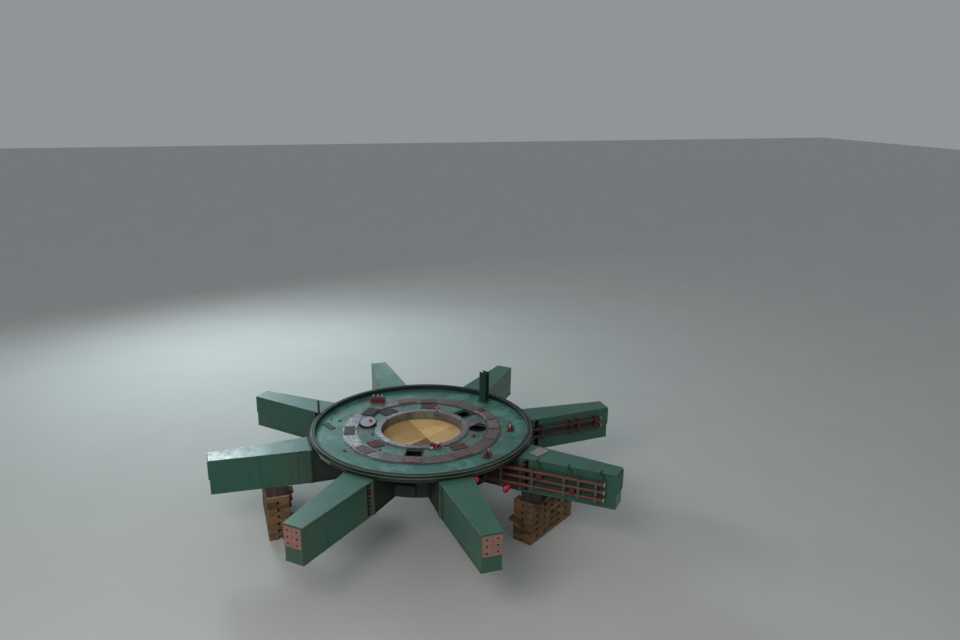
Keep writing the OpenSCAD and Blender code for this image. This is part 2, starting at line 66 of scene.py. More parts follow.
def lin(r, g, b):
    """A screen colour, each of its values over 10 of 255, as linear RGBA."""
    return tuple(((x / 255 + 0.055) / 1.055) ** 2.4 for x in (r, g, b)) + (1,)


def shade(colour, k):
    return tuple(x * k for x in colour[:3]) + (1,)


# Finishes

class Shader:
    """A material's node tree; c is its colour so far, and normal its bumps so far."""

    def __init__(self, name, rough, metal=0.0, spec=0.5):
        self.mat = bpy.data.materials.new(name)
        self.mat.use_nodes = True
        self.bsdf = self.mat.node_tree.nodes["Principled BSDF"]
        for key, value in (("Roughness", rough), ("Metallic", metal), ("Specular IOR Level", spec)):
            self.bsdf.inputs[key].default_value = value
        self.coords = self.node("ShaderNodeTexCoord").outputs["Object"]
        self.c = self.normal = None

    def feed(self, socket, value):
        """Links a socket, and sets anything else as the input's own constant."""
        if isinstance(value, bpy.types.NodeSocket):
            self.mat.node_tree.links.new(value, socket)
        else:
            socket.default_value = value

    def node(self, kind, inputs=None, **props):
        """A new node with its properties, and with its inputs by name or number."""
        n = self.mat.node_tree.nodes.new(kind)
        for key, value in props.items():
            setattr(n, key, value)
        for key, value in (inputs or {}).items():
            self.feed(n.inputs[key], value)
        return n

    def scaled(self, scale, coords=None):
        return self.node("ShaderNodeMapping", {"Scale": scale, "Vector": coords or self.coords}).outputs[0]

    def noise(self, scale, detail=4, rough=0.6, coords=None, distort=0.0):
        return self.node("ShaderNodeTexNoise", {
            "Scale": scale, "Detail": detail, "Roughness": rough, "Distortion": distort,
            "Vector": coords or self.coords}).outputs["Fac"]

    def span(self, value, low, high, to_low=0.0, to_high=1.0):
        """A value mapped from low and high to to_low and to_high, and kept between them."""
        return self.node("ShaderNodeMapRange", {
            "Value": value, "From Min": low, "From Max": high,
            "To Min": to_low, "To Max": to_high}).outputs["Result"]

    def patches(self, low, high, *noise, **more):
        """Patches: 0 where the noise is under low, 1 where it is over high."""
        return self.span(self.noise(*noise, **more), low, high)

    def math(self, op, a, b):
        return self.node("ShaderNodeMath", {0: a, 1: b}, operation=op).outputs[0]

    def times(self, value, *factors):
        for factor in factors:
            value = self.math("MULTIPLY", value, factor)
        return value

    def dot(self, a, b):
        return self.node("ShaderNodeVectorMath", {0: a, 1: b}, operation="DOT_PRODUCT").outputs["Value"]

    def mix(self, fac, a, b, mode="MIX"):
        return self.node("ShaderNodeMix", {0: fac, 6: a, 7: b}, data_type="RGBA", blend_type=mode).outputs[2]

    def attribute(self, name):
        return self.node("ShaderNodeAttribute", attribute_name=name).outputs

    def coat(self, colour, *where):
        """Lays a colour over the ones before it, where the product of the factors says."""
        self.c = self.mix(self.times(*where), self.c, colour)

    def own_tone(self):
        """Multiplies the colour by each solid's own tone."""
        self.c = self.mix(1.0, self.c, self.attribute("shade")["Color"], "MULTIPLY")

    def facing_up(self):
        normal = self.node("ShaderNodeNewGeometry").outputs["Normal"]
        return self.span(self.node("ShaderNodeSeparateXYZ", {0: normal}).outputs["Z"], 0.5, 0.95)

    def edges(self):
        """1 near the shape's edges, from the rounded normal against the true one."""
        rounded = self.node("ShaderNodeBevel", {"Radius": 0.008}, samples=4).outputs[0]
        true = self.node("ShaderNodeNewGeometry").outputs["Normal"]
        return self.span(self.dot(rounded, true), 0.995, 0.86)

    def radius(self, low, high, *to):
        """The distance from the hub's axis, mapped as span does."""
        flat = self.scaled((1, 1, 0))
        length = self.node("ShaderNodeVectorMath", {0: flat}, operation="LENGTH").outputs["Value"]
        return self.span(length, low, high, *to)

    def bump(self, height, distance, strength):
        """A bump on top of the ones before it."""
        inputs = {"Height": height, "Distance": distance, "Strength": strength}
        if self.normal:
            inputs["Normal"] = self.normal
        self.normal = self.node("ShaderNodeBump", inputs).outputs[0]

    def rough(self, value):
        self.feed(self.bsdf.inputs["Roughness"], value)

    def done(self):
        self.feed(self.bsdf.inputs["Base Color"], self.c)
        if self.normal:
            self.feed(self.bsdf.inputs["Normal"], self.normal)
        return self.mat


def paint(name, base, chip, dust_and_top_light, rough, dirt=0.7, up=0.6, wear=0.6, tinted=False, stain=None, blush=None):
    """Machine paint: uneven tone, runs of dirt down the sides, dust and painted top light on the tops,
    worn edges and chips.

    dirt, up and wear: how strong the grime, the dust with its painted top light, and the bare edges
    are. blush: brown patches on the sides, and pale streaks on the tops that are partly wear and
    partly painted highlight. stain: dull and oily patches on the tops, and pale ones that are partly
    wear and partly painted highlight.
    """
    s = Shader(name, rough)
    s.c = s.mix(s.patches(0.30, 0.72, 0.7, 5, 0.62), shade(base, 0.88), shade(base, 1.10))
    if tinted:
        s.own_tone()
    top = s.facing_up()
    side = s.math("SUBTRACT", 1.0, top)
    s.coat(shade(base, 0.42), s.patches(0.50, 0.74, 1.0, 6, 0.7, s.scaled((7, 7, 0.55))), side, 0.6)
    # The dust colour is a lighter shade of each paint's own hue: dust, and painted top light on the up-facing
    # faces.
    s.coat(dust_and_top_light, s.patches(0.25, 0.80, 2.1, 6, 0.60, distort=0.3), top, up)
    if blush:
        s.coat(blush, s.patches(0.48, 0.68, 0.85, 5, 0.62, distort=0.4), side, 0.55)
        # Pale streaks on the tops: partly wear, partly painted highlight.
        s.coat(shade(dust_and_top_light, 1.6), s.patches(0.60, 0.70, 1.0, 7, 0.75, s.scaled((0.9, 9, 9))), top, 0.30)
    if stain:
        s.coat(shade(stain, 0.42), s.patches(0.49, 0.58, 1.3, 7, 0.72, distort=1.0), top, 0.60)
        oil = s.patches(0.44, 0.60, 2.3, 7, 0.72, distort=0.9)
        s.coat(stain, oil, s.radius(1.50, 2.25, 1.0, 0.12), 0.85)
    s.coat(shade(base, 0.30), s.patches(0.60, 0.84, 1.7, 8, 0.75), dirt * 0.6)
    if stain:
        scuffs = s.patches(0.62, 0.70, 1.0, 6, 0.8, s.scaled((14, 3, 3)), 1.2)
        s.coat(shade(base, 0.45), scuffs, top, 0.35)
        # Pale patches on the tops: partly wear, partly painted highlight.
        s.coat(shade(dust_and_top_light, 1.35), s.patches(0.50, 0.60, 1.6, 7, 0.74, distort=1.1), top, 0.60)
    fine = s.noise(42, 5, 0.7)
    s.coat(chip, s.span(fine, 0.66, 0.69), s.patches(0.5, 0.62, 2.4, 3))
    if wear:
        s.coat(chip, s.edges(), s.patches(0.40, 0.62, 9, 4), wear)
    s.rough(s.span(s.noise(2.8, 5, 0.7), 0.3, 0.75, rough - 0.09, rough + 0.14))
    s.bump(s.noise(5.5, 3), 0.010, 0.12)
    s.bump(fine, 0.0015, 0.30)
    return s.done()


def turned(name, base, dark, rough, metal=0.75, stain=0.7, beyond=None, patch=None):
    """Turned steel with fine rings round the hub's axis, stains and oil.

    beyond colours what lies outside the bore. patch is an angle, two distances along it between
    which a tint comes in, and the tint. On the two turned rings the tint is a pale painted highlight
    on one side; on the well wall it is a dark red tint.
    """
    s = Shader(name, rough, metal)
    wave = s.node("ShaderNodeTexWave", {"Scale": 26, "Distortion": 0.4, "Vector": s.coords},
                  wave_type="RINGS", rings_direction="Z").outputs["Fac"]
    s.c = s.mix(s.patches(0.34, 0.70, 1.3, 6, 0.66), shade(base, 0.72), shade(base, 1.18))
    s.coat(shade(base, 1.5), wave, 0.16)
    s.coat(dark, s.patches(0.52, 0.70, 4.2, 7, 0.72, distort=0.8), stain)
    s.coat(shade(dark, 0.5), s.patches(0.66, 0.70, 38, 4))
    if patch:
        az, near, far, tint = patch
        along = s.span(s.dot(s.coords, polar(1, az)), near, far)
        s.coat(tint, along, s.patches(0.36, 0.56, 6.5, 6, 0.7), 0.85)
    if beyond:
        s.coat(beyond, s.radius(0.975, 0.980))
    s.rough(s.span(s.noise(3.1, 5), 0.3, 0.7, rough - 0.10, rough + 0.24))
    s.bump(wave, 0.001, 0.25)
    s.bump(s.noise(60, 3), 0.0008, 0.2)
    return s.done()


def timber(name, light, dark):
    """Rough sawn baulks: grain along each piece, cracks, dirt, its own tone on each, and painted top light.
    """
    s = Shader(name, 0.85, spec=0.25)
    along = s.attribute("grain")["Vector"]
    grain = s.noise(1.0, 7, 0.72, s.scaled((2.2, 46, 46), along), 0.6)
    s.c = s.mix(s.span(grain, 0.30, 0.72), dark, light)
    s.own_tone()
    s.coat(shade(dark, 0.3), s.patches(0.70, 0.76, 1.0, 3, 0.5, s.scaled((1.2, 70, 70), along)))
    s.coat(shade(dark, 0.5), s.patches(0.48, 0.72, 3.0, 7, 0.7), 0.7)
    # Painted top light: the baulks' tops are lighter.
    s.coat(shade(light, 1.3), s.facing_up(), 0.25)
    s.bump(grain, 0.004, 0.6)
    s.bump(s.noise(90, 3), 0.001, 0.3)
    return s.done()


def plain(name, base, rough, metal=0.0, vary=0.25, scale=14, tinted=False, elsewhere=None):
    """A small part's finish, with uneven tone. elsewhere colours all but the two front arms."""
    s = Shader(name, rough, metal)
    s.c = s.mix(s.patches(0.3, 0.7, scale, 5, 0.65), shade(base, 1 - vary), shade(base, 1 + vary))
    if tinted:
        s.own_tone()
    s.coat(shade(base, 0.45), s.patches(0.58, 0.72, 5, 6, 0.7))
    if elsewhere:
        spot = s.node("ShaderNodeSeparateXYZ", {0: s.coords}).outputs
        front = s.times(s.math("LESS_THAN", spot["X"], 2.0), s.math("LESS_THAN", spot["Y"], -2.0))
        s.c = s.mix(front, elsewhere, s.c)
    s.rough(s.span(s.noise(scale * 1.7, 4), 0.3, 0.7, rough - 0.08, min(1.0, rough + 0.15)))
    s.bump(s.noise(scale * 6, 3), 0.001, 0.25)
    return s.done()


def polar(r, az, z=0.0):
    """The point at a radius and an angle in degrees."""
    a = math.radians(az)
    return (r * math.cos(a), r * math.sin(a), z)


# The third colour is the arms' dust, which also paints top light on their tops.
GREEN, RUST, DUST_AND_TOP_LIGHT = lin(44, 92, 75), lin(92, 62, 48), lin(74, 124, 113)
M = dict(
    arm_paint=paint("arm_green", GREEN, lin(110, 124, 106), DUST_AND_TOP_LIGHT, 0.34, dirt=0.5, up=0.35,
        blush=lin(86, 84, 66)),
    hub_paint=paint("hub_green", lin(34, 45, 37), RUST, lin(52, 64, 54), 0.6, dirt=1.0, up=0.4),
    deck_paint=paint("deck_teal", lin(44, 108, 94), RUST, lin(80, 138, 126), 0.38, up=0.34, wear=0.2,
        stain=lin(112, 104, 104)),
    rim_paint=paint("rim_green", lin(24, 37, 32), lin(96, 104, 90), lin(48, 62, 57), 0.40, up=0.35),
    lid_paint=paint("lid_lavender", lin(170, 172, 186), RUST, lin(182, 182, 190), 0.42, up=0.3, wear=0.2),
    post_paint=paint("post_green", lin(36, 70, 54), lin(96, 112, 92), lin(70, 92, 80), 0.45),
    pipe_paint=paint("pipe_brown", lin(100, 46, 40), lin(60, 34, 28), lin(116, 66, 58), 0.45, up=0.4,
        wear=0, tinted=True),
    clamp_paint=paint("clamp_pale", lin(92, 90, 80), lin(120, 84, 76), lin(120, 118, 108), 0.5, up=0.4),
    clamp_rust=paint("clamp_red", lin(66, 42, 38), lin(104, 76, 70), lin(88, 64, 56), 0.5, up=0.4),
    # Its patch is a pale painted highlight on one side of the ring.
    ring_steel=turned("ring_turned", lin(112, 98, 98), lin(66, 54, 54), 0.30, 0.5,
        patch=(178, 1.15, 1.6, lin(200, 204, 212))),
    # Its patch is a pale painted highlight on one side of the well's ring.
    machined_steel=turned("well_turned", lin(140, 136, 142), lin(92, 78, 82), 0.30,
        patch=(195, 0.7, 1.05, lin(206, 200, 214))),
    well_steel=turned("well_wall_steel", lin(112, 112, 104), lin(70, 58, 50), 0.5, 0.2, 0.6,
        lin(28, 36, 31), (178, 0.66, 0.90, lin(62, 36, 34))),
    pad_steel=plain("pad_pink", lin(158, 116, 106), 0.5, 0.25, vary=0.2, scale=22,
        elsewhere=shade(GREEN, 1.15)),
    plate_steel=plain("loose_plate", lin(122, 112, 110), 0.72, 0.05, vary=0.3, scale=9, tinted=True),
    fitting_paint=plain("fitting_red", lin(112, 44, 48), 0.4, vary=0.3, tinted=True),
    cap_paint=plain("cap_red", lin(190, 40, 70), 0.35, vary=0.2, tinted=True),
    block_paint=plain("block_dark", lin(70, 60, 54), 0.7, vary=0.35, scale=5, tinted=True),
    timber=timber("crib_timber", lin(158, 126, 96), lin(76, 54, 38)),
    cover_sheet=plain("cover_boards", lin(206, 168, 112), 0.7, vary=0.08, scale=2.2, tinted=True),
)
BOLT = plain("bolt_zinc", lin(104, 92, 84), 0.42, 0.6, vary=0.3, scale=40)
DARK = plain("dark_steel", lin(34, 32, 32), 0.5, 0.3, vary=0.3, scale=30)
WELD = plain("weld_green", lin(54, 92, 76), 0.45, vary=0.2, scale=60)
# Pale edges of the front arms: worn paint and painted highlight.
WORN_EDGE_AND_HIGHLIGHT = plain("worn_edge_and_highlight", lin(128, 140, 124), 0.5, 0.2, vary=0.3, scale=9)
# A pale colour for the band's top chamfer: a painted highlight.
BAND_EDGE_HIGHLIGHT = plain("band_edge_highlight", lin(92, 102, 82), 0.45, 0.2, vary=0.4, scale=1.6)
BRIGHT = turned("bright_turned", lin(106, 114, 104), lin(58, 64, 56), 0.30, 0.5, 0.6)
PALE = plain("pale_plastic", lin(206, 190, 188), 0.5, vary=0.12, scale=30)
PALE_BOARD = plain("pale_board", lin(150, 132, 122), 0.8, vary=0.2, scale=8)
PIPE_END = plain("pipe_end", lin(176, 140, 132), 0.5, vary=0.2, scale=40)
HOOK = plain("hook_dark", lin(40, 50, 44), 0.5, 0.2, vary=0.3, scale=30)
STRIP = plain("strip_yellow", lin(160, 168, 84), 0.5, vary=0.2, scale=30)
STRIP_WORN = plain("strip_worn", lin(146, 152, 144), 0.45, 0.3, scale=6)
LINING = plain("lining_green", lin(112, 122, 100), 0.5, vary=0.2, scale=7)
COVER_PLATE = paint("cover_plate", lin(56, 90, 74), RUST, lin(90, 112, 100), 0.42, up=0.3)

for row in frame["record"]["subparts"]:
    piece = nodes[row["node"]]
    piece.data.materials.clear()
    piece.data.materials.append(M[row["material_slot"]])


# Mesh building

def placed(name, data):
    """A new object in the scene, at the origin."""
    o = bpy.data.objects.new(name, data)
    bpy.context.scene.collection.objects.link(o)
    return o


def spread(first, last, n):
    """n + 1 values in even steps."""
    return [first + (last - first) * i / n for i in range(n + 1)]


def circle(r, n, z=0.0, closed=False):
    """n points round the Z axis; closed ends them on the first one."""
    return [polar(r, 360 * i / n, z) for i in range(n + closed)]


def ribbon(n):
    """The faces of a strip whose points come in n + 1 pairs."""
    return [[2 * i, 2 * i + 1, 2 * i + 3, 2 * i + 2] for i in range(n)]


class Build:
    """Collects solids into one mesh, with a tone and a grain direction for each."""

    def __init__(self):
        self.v, self.f, self.m, self.shade, self.grain = [], [], [], [], []

    def add(self, verts, faces, at=UNIT, mat=0, tone=1.0, grain=None):
        n = len(self.v)
        rgb = tone if isinstance(tone, tuple) else (tone,) * 3
        pts = [at @ Vector(p) for p in verts]
        self.v += pts
        self.f += [[n + i for i in f] for f in faces]
        self.m += [mat] * len(faces)
        self.shade += [rgb + (1,)] * len(pts)
        self.grain += [tuple(grain(Vector(p))) if grain else tuple(q) for p, q in zip(verts, pts)]

    def box(self, lo, hi, at=UNIT, b=0.003, **look):
        """A box with chamfered edges."""
        b = min(b, min(h - l for l, h in zip(lo, hi)) * 0.45)
        verts = [[(hi[i] if high[i] else lo[i]) + (0 if i == a else (-b if high[i] else b)) for i in range(3)]
                 for high in product((0, 1), repeat=3) for a in range(3)]
        # A corner's first vertex is the sum of these steps over the axes on which it is high
        step = (12, 6, 3)
        faces = []
        for a in range(3):
            i, j = (a + 1) % 3, (a + 2) % 3
            for foot in (a, a + step[a]):
                faces.append([foot, foot + step[i], foot + step[i] + step[j], foot + step[j]])
            for k in (0, step[j], step[i], step[i] + step[j]):
                faces.append([k + i, k + step[a] + i, k + step[a] + j, k + j])
        faces += [[k, k + 1, k + 2] for k in range(0, 24, 3)]
        self.add(verts, faces, at, **look)

    def slab(self, d, w, h, at, b=0.003, **look):
        """A box on the local origin, d along X and w along Y."""
        self.box((-d / 2, -w / 2, 0), (d / 2, w / 2, h), at, b, **look)

    def lathe(self, profile, at=UNIT, n=20, **look):
        """A profile of (radius, height) turned round the local Z."""
        verts, rings, faces = [], [], []
        for r, z in profile:
            points = [(0, 0, z)] if r < 1e-6 else circle(r, n, z)
            rings.append(range(len(verts), len(verts) + len(points)))
            verts += points
        for a, b in zip(rings, rings[1:]):
            for i in range(n):
                j = (i + 1) % n
                if len(a) == 1:
                    faces.append([a[0], b[i], b[j]])
                elif len(b) == 1:
                    faces.append([a[i], a[j], b[0]])
                else:
                    faces.append([a[i], a[j], b[j], b[i]])
        self.add(verts, faces, at, **look)

    def rod(self, r, h, at=UNIT, n=16, **look):
        """A cylinder with chamfered ends, from the local origin up Z."""
        c = min(0.15 * r, h * 0.4)
        self.lathe([(0, 0), (r - c, 0), (r, c), (r, h - c), (r - c, h), (0, h)], at, n, **look)

    def tube(self, points, r, n, at=UNIT, ends=True, **look):
        """A round bar along points; r is a radius or a function of the point's number."""
        pts = [Vector(p) for p in points]
        last = len(pts) - 1
        verts, faces = [], []
        side = None
        for i, p in enumerate(pts):
            d = (pts[min(i + 1, last)] - pts[max(i - 1, 0)]).normalized()
            if side is None:
                side = d.orthogonal().normalized()
            side = (side - d * side.dot(d)).normalized()
            up = d.cross(side)
            rad = r(i) if callable(r) else r
            verts += [p + rad * (x * side + y * up) for x, y, _ in circle(1, n)]
        for i, j in product(range(0, last * n, n), range(n)):
            q = (j + 1) % n
            faces.append([i + j, i + q, i + n + q, i + n + j])
        if ends:
            faces += [list(range(n)), [last * n + j for j in range(n)]]
        self.add(verts, faces, at, **look)

    def bolt(self, at, flat, h, washer=True, stud=0.02, **look):
        """A hexagon nut or head, on a washer and round a stud, standing up the local Z."""
        z = 0
        if washer:
            z = 0.1 * flat
            self.lathe([(0, 0), (flat * 0.62, 0), (flat * 0.62, z), (0, z)], at, 16, **look)
        r = flat / math.sqrt(3)
        self.lathe([(0, z), (r, z), (r, z + h * 0.86), (r * 0.88, z + h), (0, z + h)], at, 6, **look)
        if stud:
            self.rod(flat * 0.32, stud, at @ move(0, 0, z + h), 10, **look)

    def make(self, name, mats, replaces=None, smooth=32):
        """The scene's piece, on the root body."""
        me = bpy.data.meshes.new(name)
        me.from_pydata([tuple(p) for p in self.v], [], self.f)
        for m in mats:
            me.materials.append(m)
        me.polygons.foreach_set("material_index", self.m)
        bm = bmesh.new()
        bm.from_mesh(me)
        bmesh.ops.recalc_face_normals(bm, faces=bm.faces)
        bm.to_mesh(me)
        bm.free()
        tone = me.attributes.new("shade", "FLOAT_COLOR", "POINT")
        tone.data.foreach_set("color", list(chain(*self.shade)))
        grain = me.attributes.new("grain", "FLOAT_VECTOR", "POINT")
        grain.data.foreach_set("vector", list(chain(*self.grain)))
        me.shade_smooth()
        me.set_sharp_from_angle(angle=math.radians(smooth))
        o = placed(name, me)
        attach(o, "root")
        if replaces:
            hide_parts(replaces)


def turn(deg, axis="Z"):
    return Matrix.Rotation(math.radians(deg), 4, axis)


def move(x, y, z):
    return Matrix.Translation((x, y, z))


def arm_at(k):
    return turn(45 * k)


def arm_half(r):
    """Half an arm's width at a radius."""
    return ROOT_W / 2 - (r - JOINT_R) * TAPER


def on_deck(az, r, z=TOP, spin=0):
    """At an angle and radius on the hub, with the local X pointing outwards."""
    return turn(az) @ move(r, 0, z) @ turn(spin)


# The local Z turned to +X, to -X, to -Y and to +Y
OUT, IN, FRONT, BACK = turn(90, "Y"), turn(-90, "Y"), turn(90, "X"), turn(-90, "X")
POST_FOOT = on_deck(30.2, GUTTER_R - 0.156, TOP + 0.020)


# Joints and arms

def joint_bolts():
    """The nuts of each joint: two columns of eight beside the web, on both flanges."""
    b = Build()
    margin, flat, last = 0.078, 0.072, 7
    for k, side in product(ARMS, SIDES):
        for y_hub, y_arm in ((0.125, 0.125), (0.262, 0.306)):
            for row, z in enumerate(spread(UNDER + margin, TOP - margin, last)):
                spot = arm_at(k) @ move(FLANGE_FACE, side * y_arm, z) @ OUT
                b.bolt(spot @ turn(row * 17 + k * 11), flat, 0.045)
                if row < last:
                    spot = arm_at(k) @ move(FLANGE_BACK, side * y_hub, z) @ IN
                    b.bolt(spot @ turn(row * 23), flat, 0.036, stud=0)
    b.make("joint_bolts", [BOLT])


def arm_welds():
    """Beads where the webs meet the plates and flanges, and pale edges on the two front arms: worn paint and
    painted highlight.
    """
    b = Build()
    rng = random.Random(4)

    def upright(k, x, y, r, foot=PLATE_T, head=PLATE_T, mat=0):
        b.tube([(x, y, UNDER + foot), (x, y, TOP - head)], r, 8, arm_at(k), mat=mat)

    for k, side in product(ARMS, SIDES):
        for z in (UNDER + PLATE_T, TOP - PLATE_T):
            b.tube([(r, side * (arm_half(r) - WEB_INSET), z) for r in spread(POCKET_END, TIP_R - 0.01, 24)],
                   lambda i: 0.009 + rng.uniform(-0.0012, 0.0012), 8, arm_at(k))
        upright(k, POCKET_END, side * (arm_half(POCKET_END) - WEB_INSET), 0.006)
        for x in (FLANGE_FACE, POCKET_END):
            upright(k, x, side * WEB_T / 2, 0.007)
    # Pale strips on the front arms' edges: worn paint and painted highlight.
    for k, side in product((5, 6), SIDES):
        for z in (UNDER + 0.006, TOP - 0.005):
            edge = [(r, side * (arm_half(r) - 0.001), z) for r in (JOINT_R, TIP_R)]
            b.tube(edge, 0.005, 8, arm_at(k), mat=1)
        for x in (JOINT_R - 0.046, JOINT_R + 0.046):
            upright(k, x, side * (ROOT_W / 2 - 0.001), 0.005, 0.02, 0.03, mat=1)
    b.make("arm_welds", [WELD, WORN_EDGE_AND_HIGHLIGHT])


def pads():
    """The pads' bolt holes, with a dark floor and mouth ring as painted shade, and a thin seam round each
    pad.
    """
    b = Build()
    # A dark floor 6 mm down each hole and a dark ring round its mouth: painted shade for the hole's depth.
    bore = [(0, -0.006), (0.0178, -0.006), (0.0178, -0.0004), (0.0190, 0.0002), (0.0215, 0.0002),
            (0.0220, -0.0002)]
    for k, y, z in product(ARMS, (-0.108, 0.108), (-0.140, 0, 0.140)):
        b.lathe(bore, arm_at(k) @ move(TIP_R + PAD_T, y, PAD_MID + z) @ OUT, mat=1)
    half, low, high = 0.199, TOP - 0.462, TOP - 0.033
    for k in ARMS:
        at = arm_at(k) @ move(TIP_R + 0.0008, 0, 0)
        for y in (-half, half):
            b.tube([(0, y, low), (0, y, high)], 0.004, 6, at)
        for z in (low, high):
            b.tube([(0, -half, z), (0, half, z)], 0.004, 6, at)
    b.make("pad_seams", [WELD, DARK])


def joint_cover_face():
    """The skin and the screws of the box that covers one joint of arm 5."""
    b = Build()
    y = ROOT_W / 2 + 0.026
    lo, hi, end = UNDER + 0.024, TOP - 0.024, POCKET_END + 0.090
    b.box((JOINT_R + 0.002, y - 0.0015, lo + 0.002), (end - 0.001, y + 0.001, hi - 0.002), arm_at(4), 0.0008)
    for z, x in product(spread(lo + 0.035, hi - 0.035, 5), (JOINT_R + 0.028, end - 0.020)):
        b.bolt(arm_at(4) @ move(x, y + 0.001, z) @ BACK, 0.024, 0.008, True, 0, mat=1)
    b.make("joint_cover_skin", [COVER_PLATE, BOLT])


# Deck, rim and well

# Plates on the ring: angle and tone
RING_PADS = [
    (6, (0.86, 0.74, 0.74)), (88, (0.90, 0.74, 0.74)), (168, (0.36, 0.38, 0.38)),
    (206, (0.66, 0.74, 0.66)), (247, (0.86, 0.66, 0.66)), (286, (0.80, 0.50, 0.50)),
    (328, (0.74, 0.66, 0.64)), (348, (0.92, 0.86, 0.88)),
]
# Plates over the ring's inner edge and on the inner deck: angle, width, depth, turn and tone
EDGE_PLATES = [(69, 0.400, 0.236, 7, (0.60, 0.38, 0.42)), (127.2, 0.440, 0.300, 14, (0.15, 0.14, 0.18))]
DECK_PLATES = [
    (66.5, 0.410, 0.250, 6, (0.40, 0.20, 0.23)), (114.5, 0.410, 0.344, 2, (0.16, 0.13, 0.18)),
    (202, 0.330, 0.310, -8, (0.52, 0.17, 0.20)), (293, 0.370, 0.250, -16, (0.54, 0.17, 0.19)),
]
HATCHES = (23, 247)


def loose_plates():
    """The plates that lie on the ring, the decks and arm 8, and the bars round the hatches."""
    b = Build()

    def plate(at, w, d, tone, holes=True):
        b.slab(d, w, LOOSE_T, at, tone=tone)
        if holes:
            hole = [(0, LOOSE_T + 0.0005), (0.017, LOOSE_T + 0.0005), (0.021, LOOSE_T)]
            for y in (-w * 0.36, w * 0.36):
                b.lathe(hole, at @ move(0, y, 0), 16, mat=1)

    for az, tone in RING_PADS:
        plate(on_deck(az, RING_OUT - 0.167, RING_TOP), 0.440, 0.250, tone)
    for az, w, d, spin, tone in EDGE_PLATES:
        plate(on_deck(az, RING_IN + 0.075, RING_TOP, spin), w, d, tone)
    for az, w, d, spin, tone in DECK_PLATES:
        plate(on_deck(az, HATCH_R, TOP, spin), w, d, tone)
    half = HATCH_W / 2
    for az, side in product(HATCHES, range(4)):
        at = on_deck(az, HATCH_R) @ turn(90 * side)
        b.box((half, -half - HATCH_BAR, 0), (half + HATCH_BAR, half - SEAT, LOOSE_T), at, 0.002,
              tone=(0.12, 0.12, 0.13))
        for y in (-0.12, 0, 0.12):
            b.bolt(at @ move(half + HATCH_BAR / 2, y, LOOSE_T), 0.015, 0.008, False, 0, mat=1)
    plate(on_deck(159, GUTTER_R - 0.225, TOP, -50), 0.150, 0.370, (0.42, 0.52, 0.50), False)
    plate(arm_at(7) @ move(JOINT_R + 0.280, 0.085, TOP) @ turn(-17), 0.390, 0.270, (1.35, 1.5, 1.35), False)
    b.make("loose_plate_set", [M["plate_steel"], DARK], "loose_plates")


def rim():
    """The lip with turned lands and grooves painted dark as shade, the band at its foot with a painted
    highlight on its top edge, and beads at both.
    """
    b = Build()
    body, land, shaded_groove = 0, 1, 2
    # The grooves take dark steel: painted shade.
    for mat, *section in (
            (body, (LIP_IN, TOP), (LIP_IN, 2.217), (2.501, LIP_TOP)),
            (body, (2.501, LIP_TOP), (2.510, LIP_TOP)),
            (shaded_groove, (2.510, LIP_TOP), (2.511, 2.217), (2.517, 2.217), (2.518, LIP_TOP)),
            (body, (2.518, LIP_TOP), (2.536, LIP_TOP)),
            (shaded_groove, (2.536, LIP_TOP), (2.538, 2.210), (2.558, 2.210), (2.560, LIP_TOP)),
            (land, (2.560, LIP_TOP), (2.572, LIP_TOP)),
            (shaded_groove, (2.572, LIP_TOP), (2.573, 2.218), (2.579, 2.218), (2.580, LIP_TOP)),
            (body, (2.580, LIP_TOP), (2.588, LIP_TOP)),
            (land, (2.588, LIP_TOP), (LIP_R, 2.212)),
            (body, (LIP_R, 2.212), (LIP_R, TOP), (LIP_IN, TOP))):
        b.lathe(section, n=256, mat=mat)
    b.make("rim_lip_turned", [M["rim_paint"], BRIGHT, DARK], "rim_lip")
    b = Build()
    inner = LIP_R + SEAT
    for mat, *section in (
            (0, (inner, DECK_UNDER), (2.611, DECK_UNDER), (BAND_R, 2.070)),
            (0, (BAND_R, 2.070), (BAND_R, 2.146)),
            # The band's top chamfer takes a pale colour: a painted highlight.
            (1, (BAND_R, 2.146), (2.609, BAND_TOP)),
            (0, (2.609, BAND_TOP), (inner, BAND_TOP), (inner, DECK_UNDER))):
        b.lathe(section, n=256, mat=mat)
    b.make("rim_band_rolled", [M["rim_paint"], BAND_EDGE_HIGHLIGHT], "rim_band")
    b = Build()
    rng = random.Random(9)
    for r, z, rad in ((2.6035, BAND_TOP + 0.002, 0.0045), (2.4975, TOP + 0.002, 0.006)):
        b.tube(circle(r, 240, z, closed=True), lambda i: rad + rng.uniform(-0.0008, 0.0008), 6, ends=False)
    b.make("rim_beads", [WELD])


# The cover's radius, the radius where its dish starts, its edge's height, low point and thickness
COVER_R, DISH_R, COVER_Z, COVER_LOW, COVER_T = 0.945, 0.905, 1.933, (0.136, 0.073, 1.813), 0.012
# Sectors of the cover between its creases: from, to, tone. The tone is painted light and shade, lighter or
# darker by how each sector's slope meets the light
SHADED_SECTORS = [
    (-80, 20, (0.96, 0.94, 0.92)), (20, 95, (1.22, 1.22, 1.22)), (95, 205, (0.80, 0.76, 0.68)),
    (205, 220, (1.05, 1.02, 0.92)), (220, 280, (0.24, 0.20, 0.15)),
]


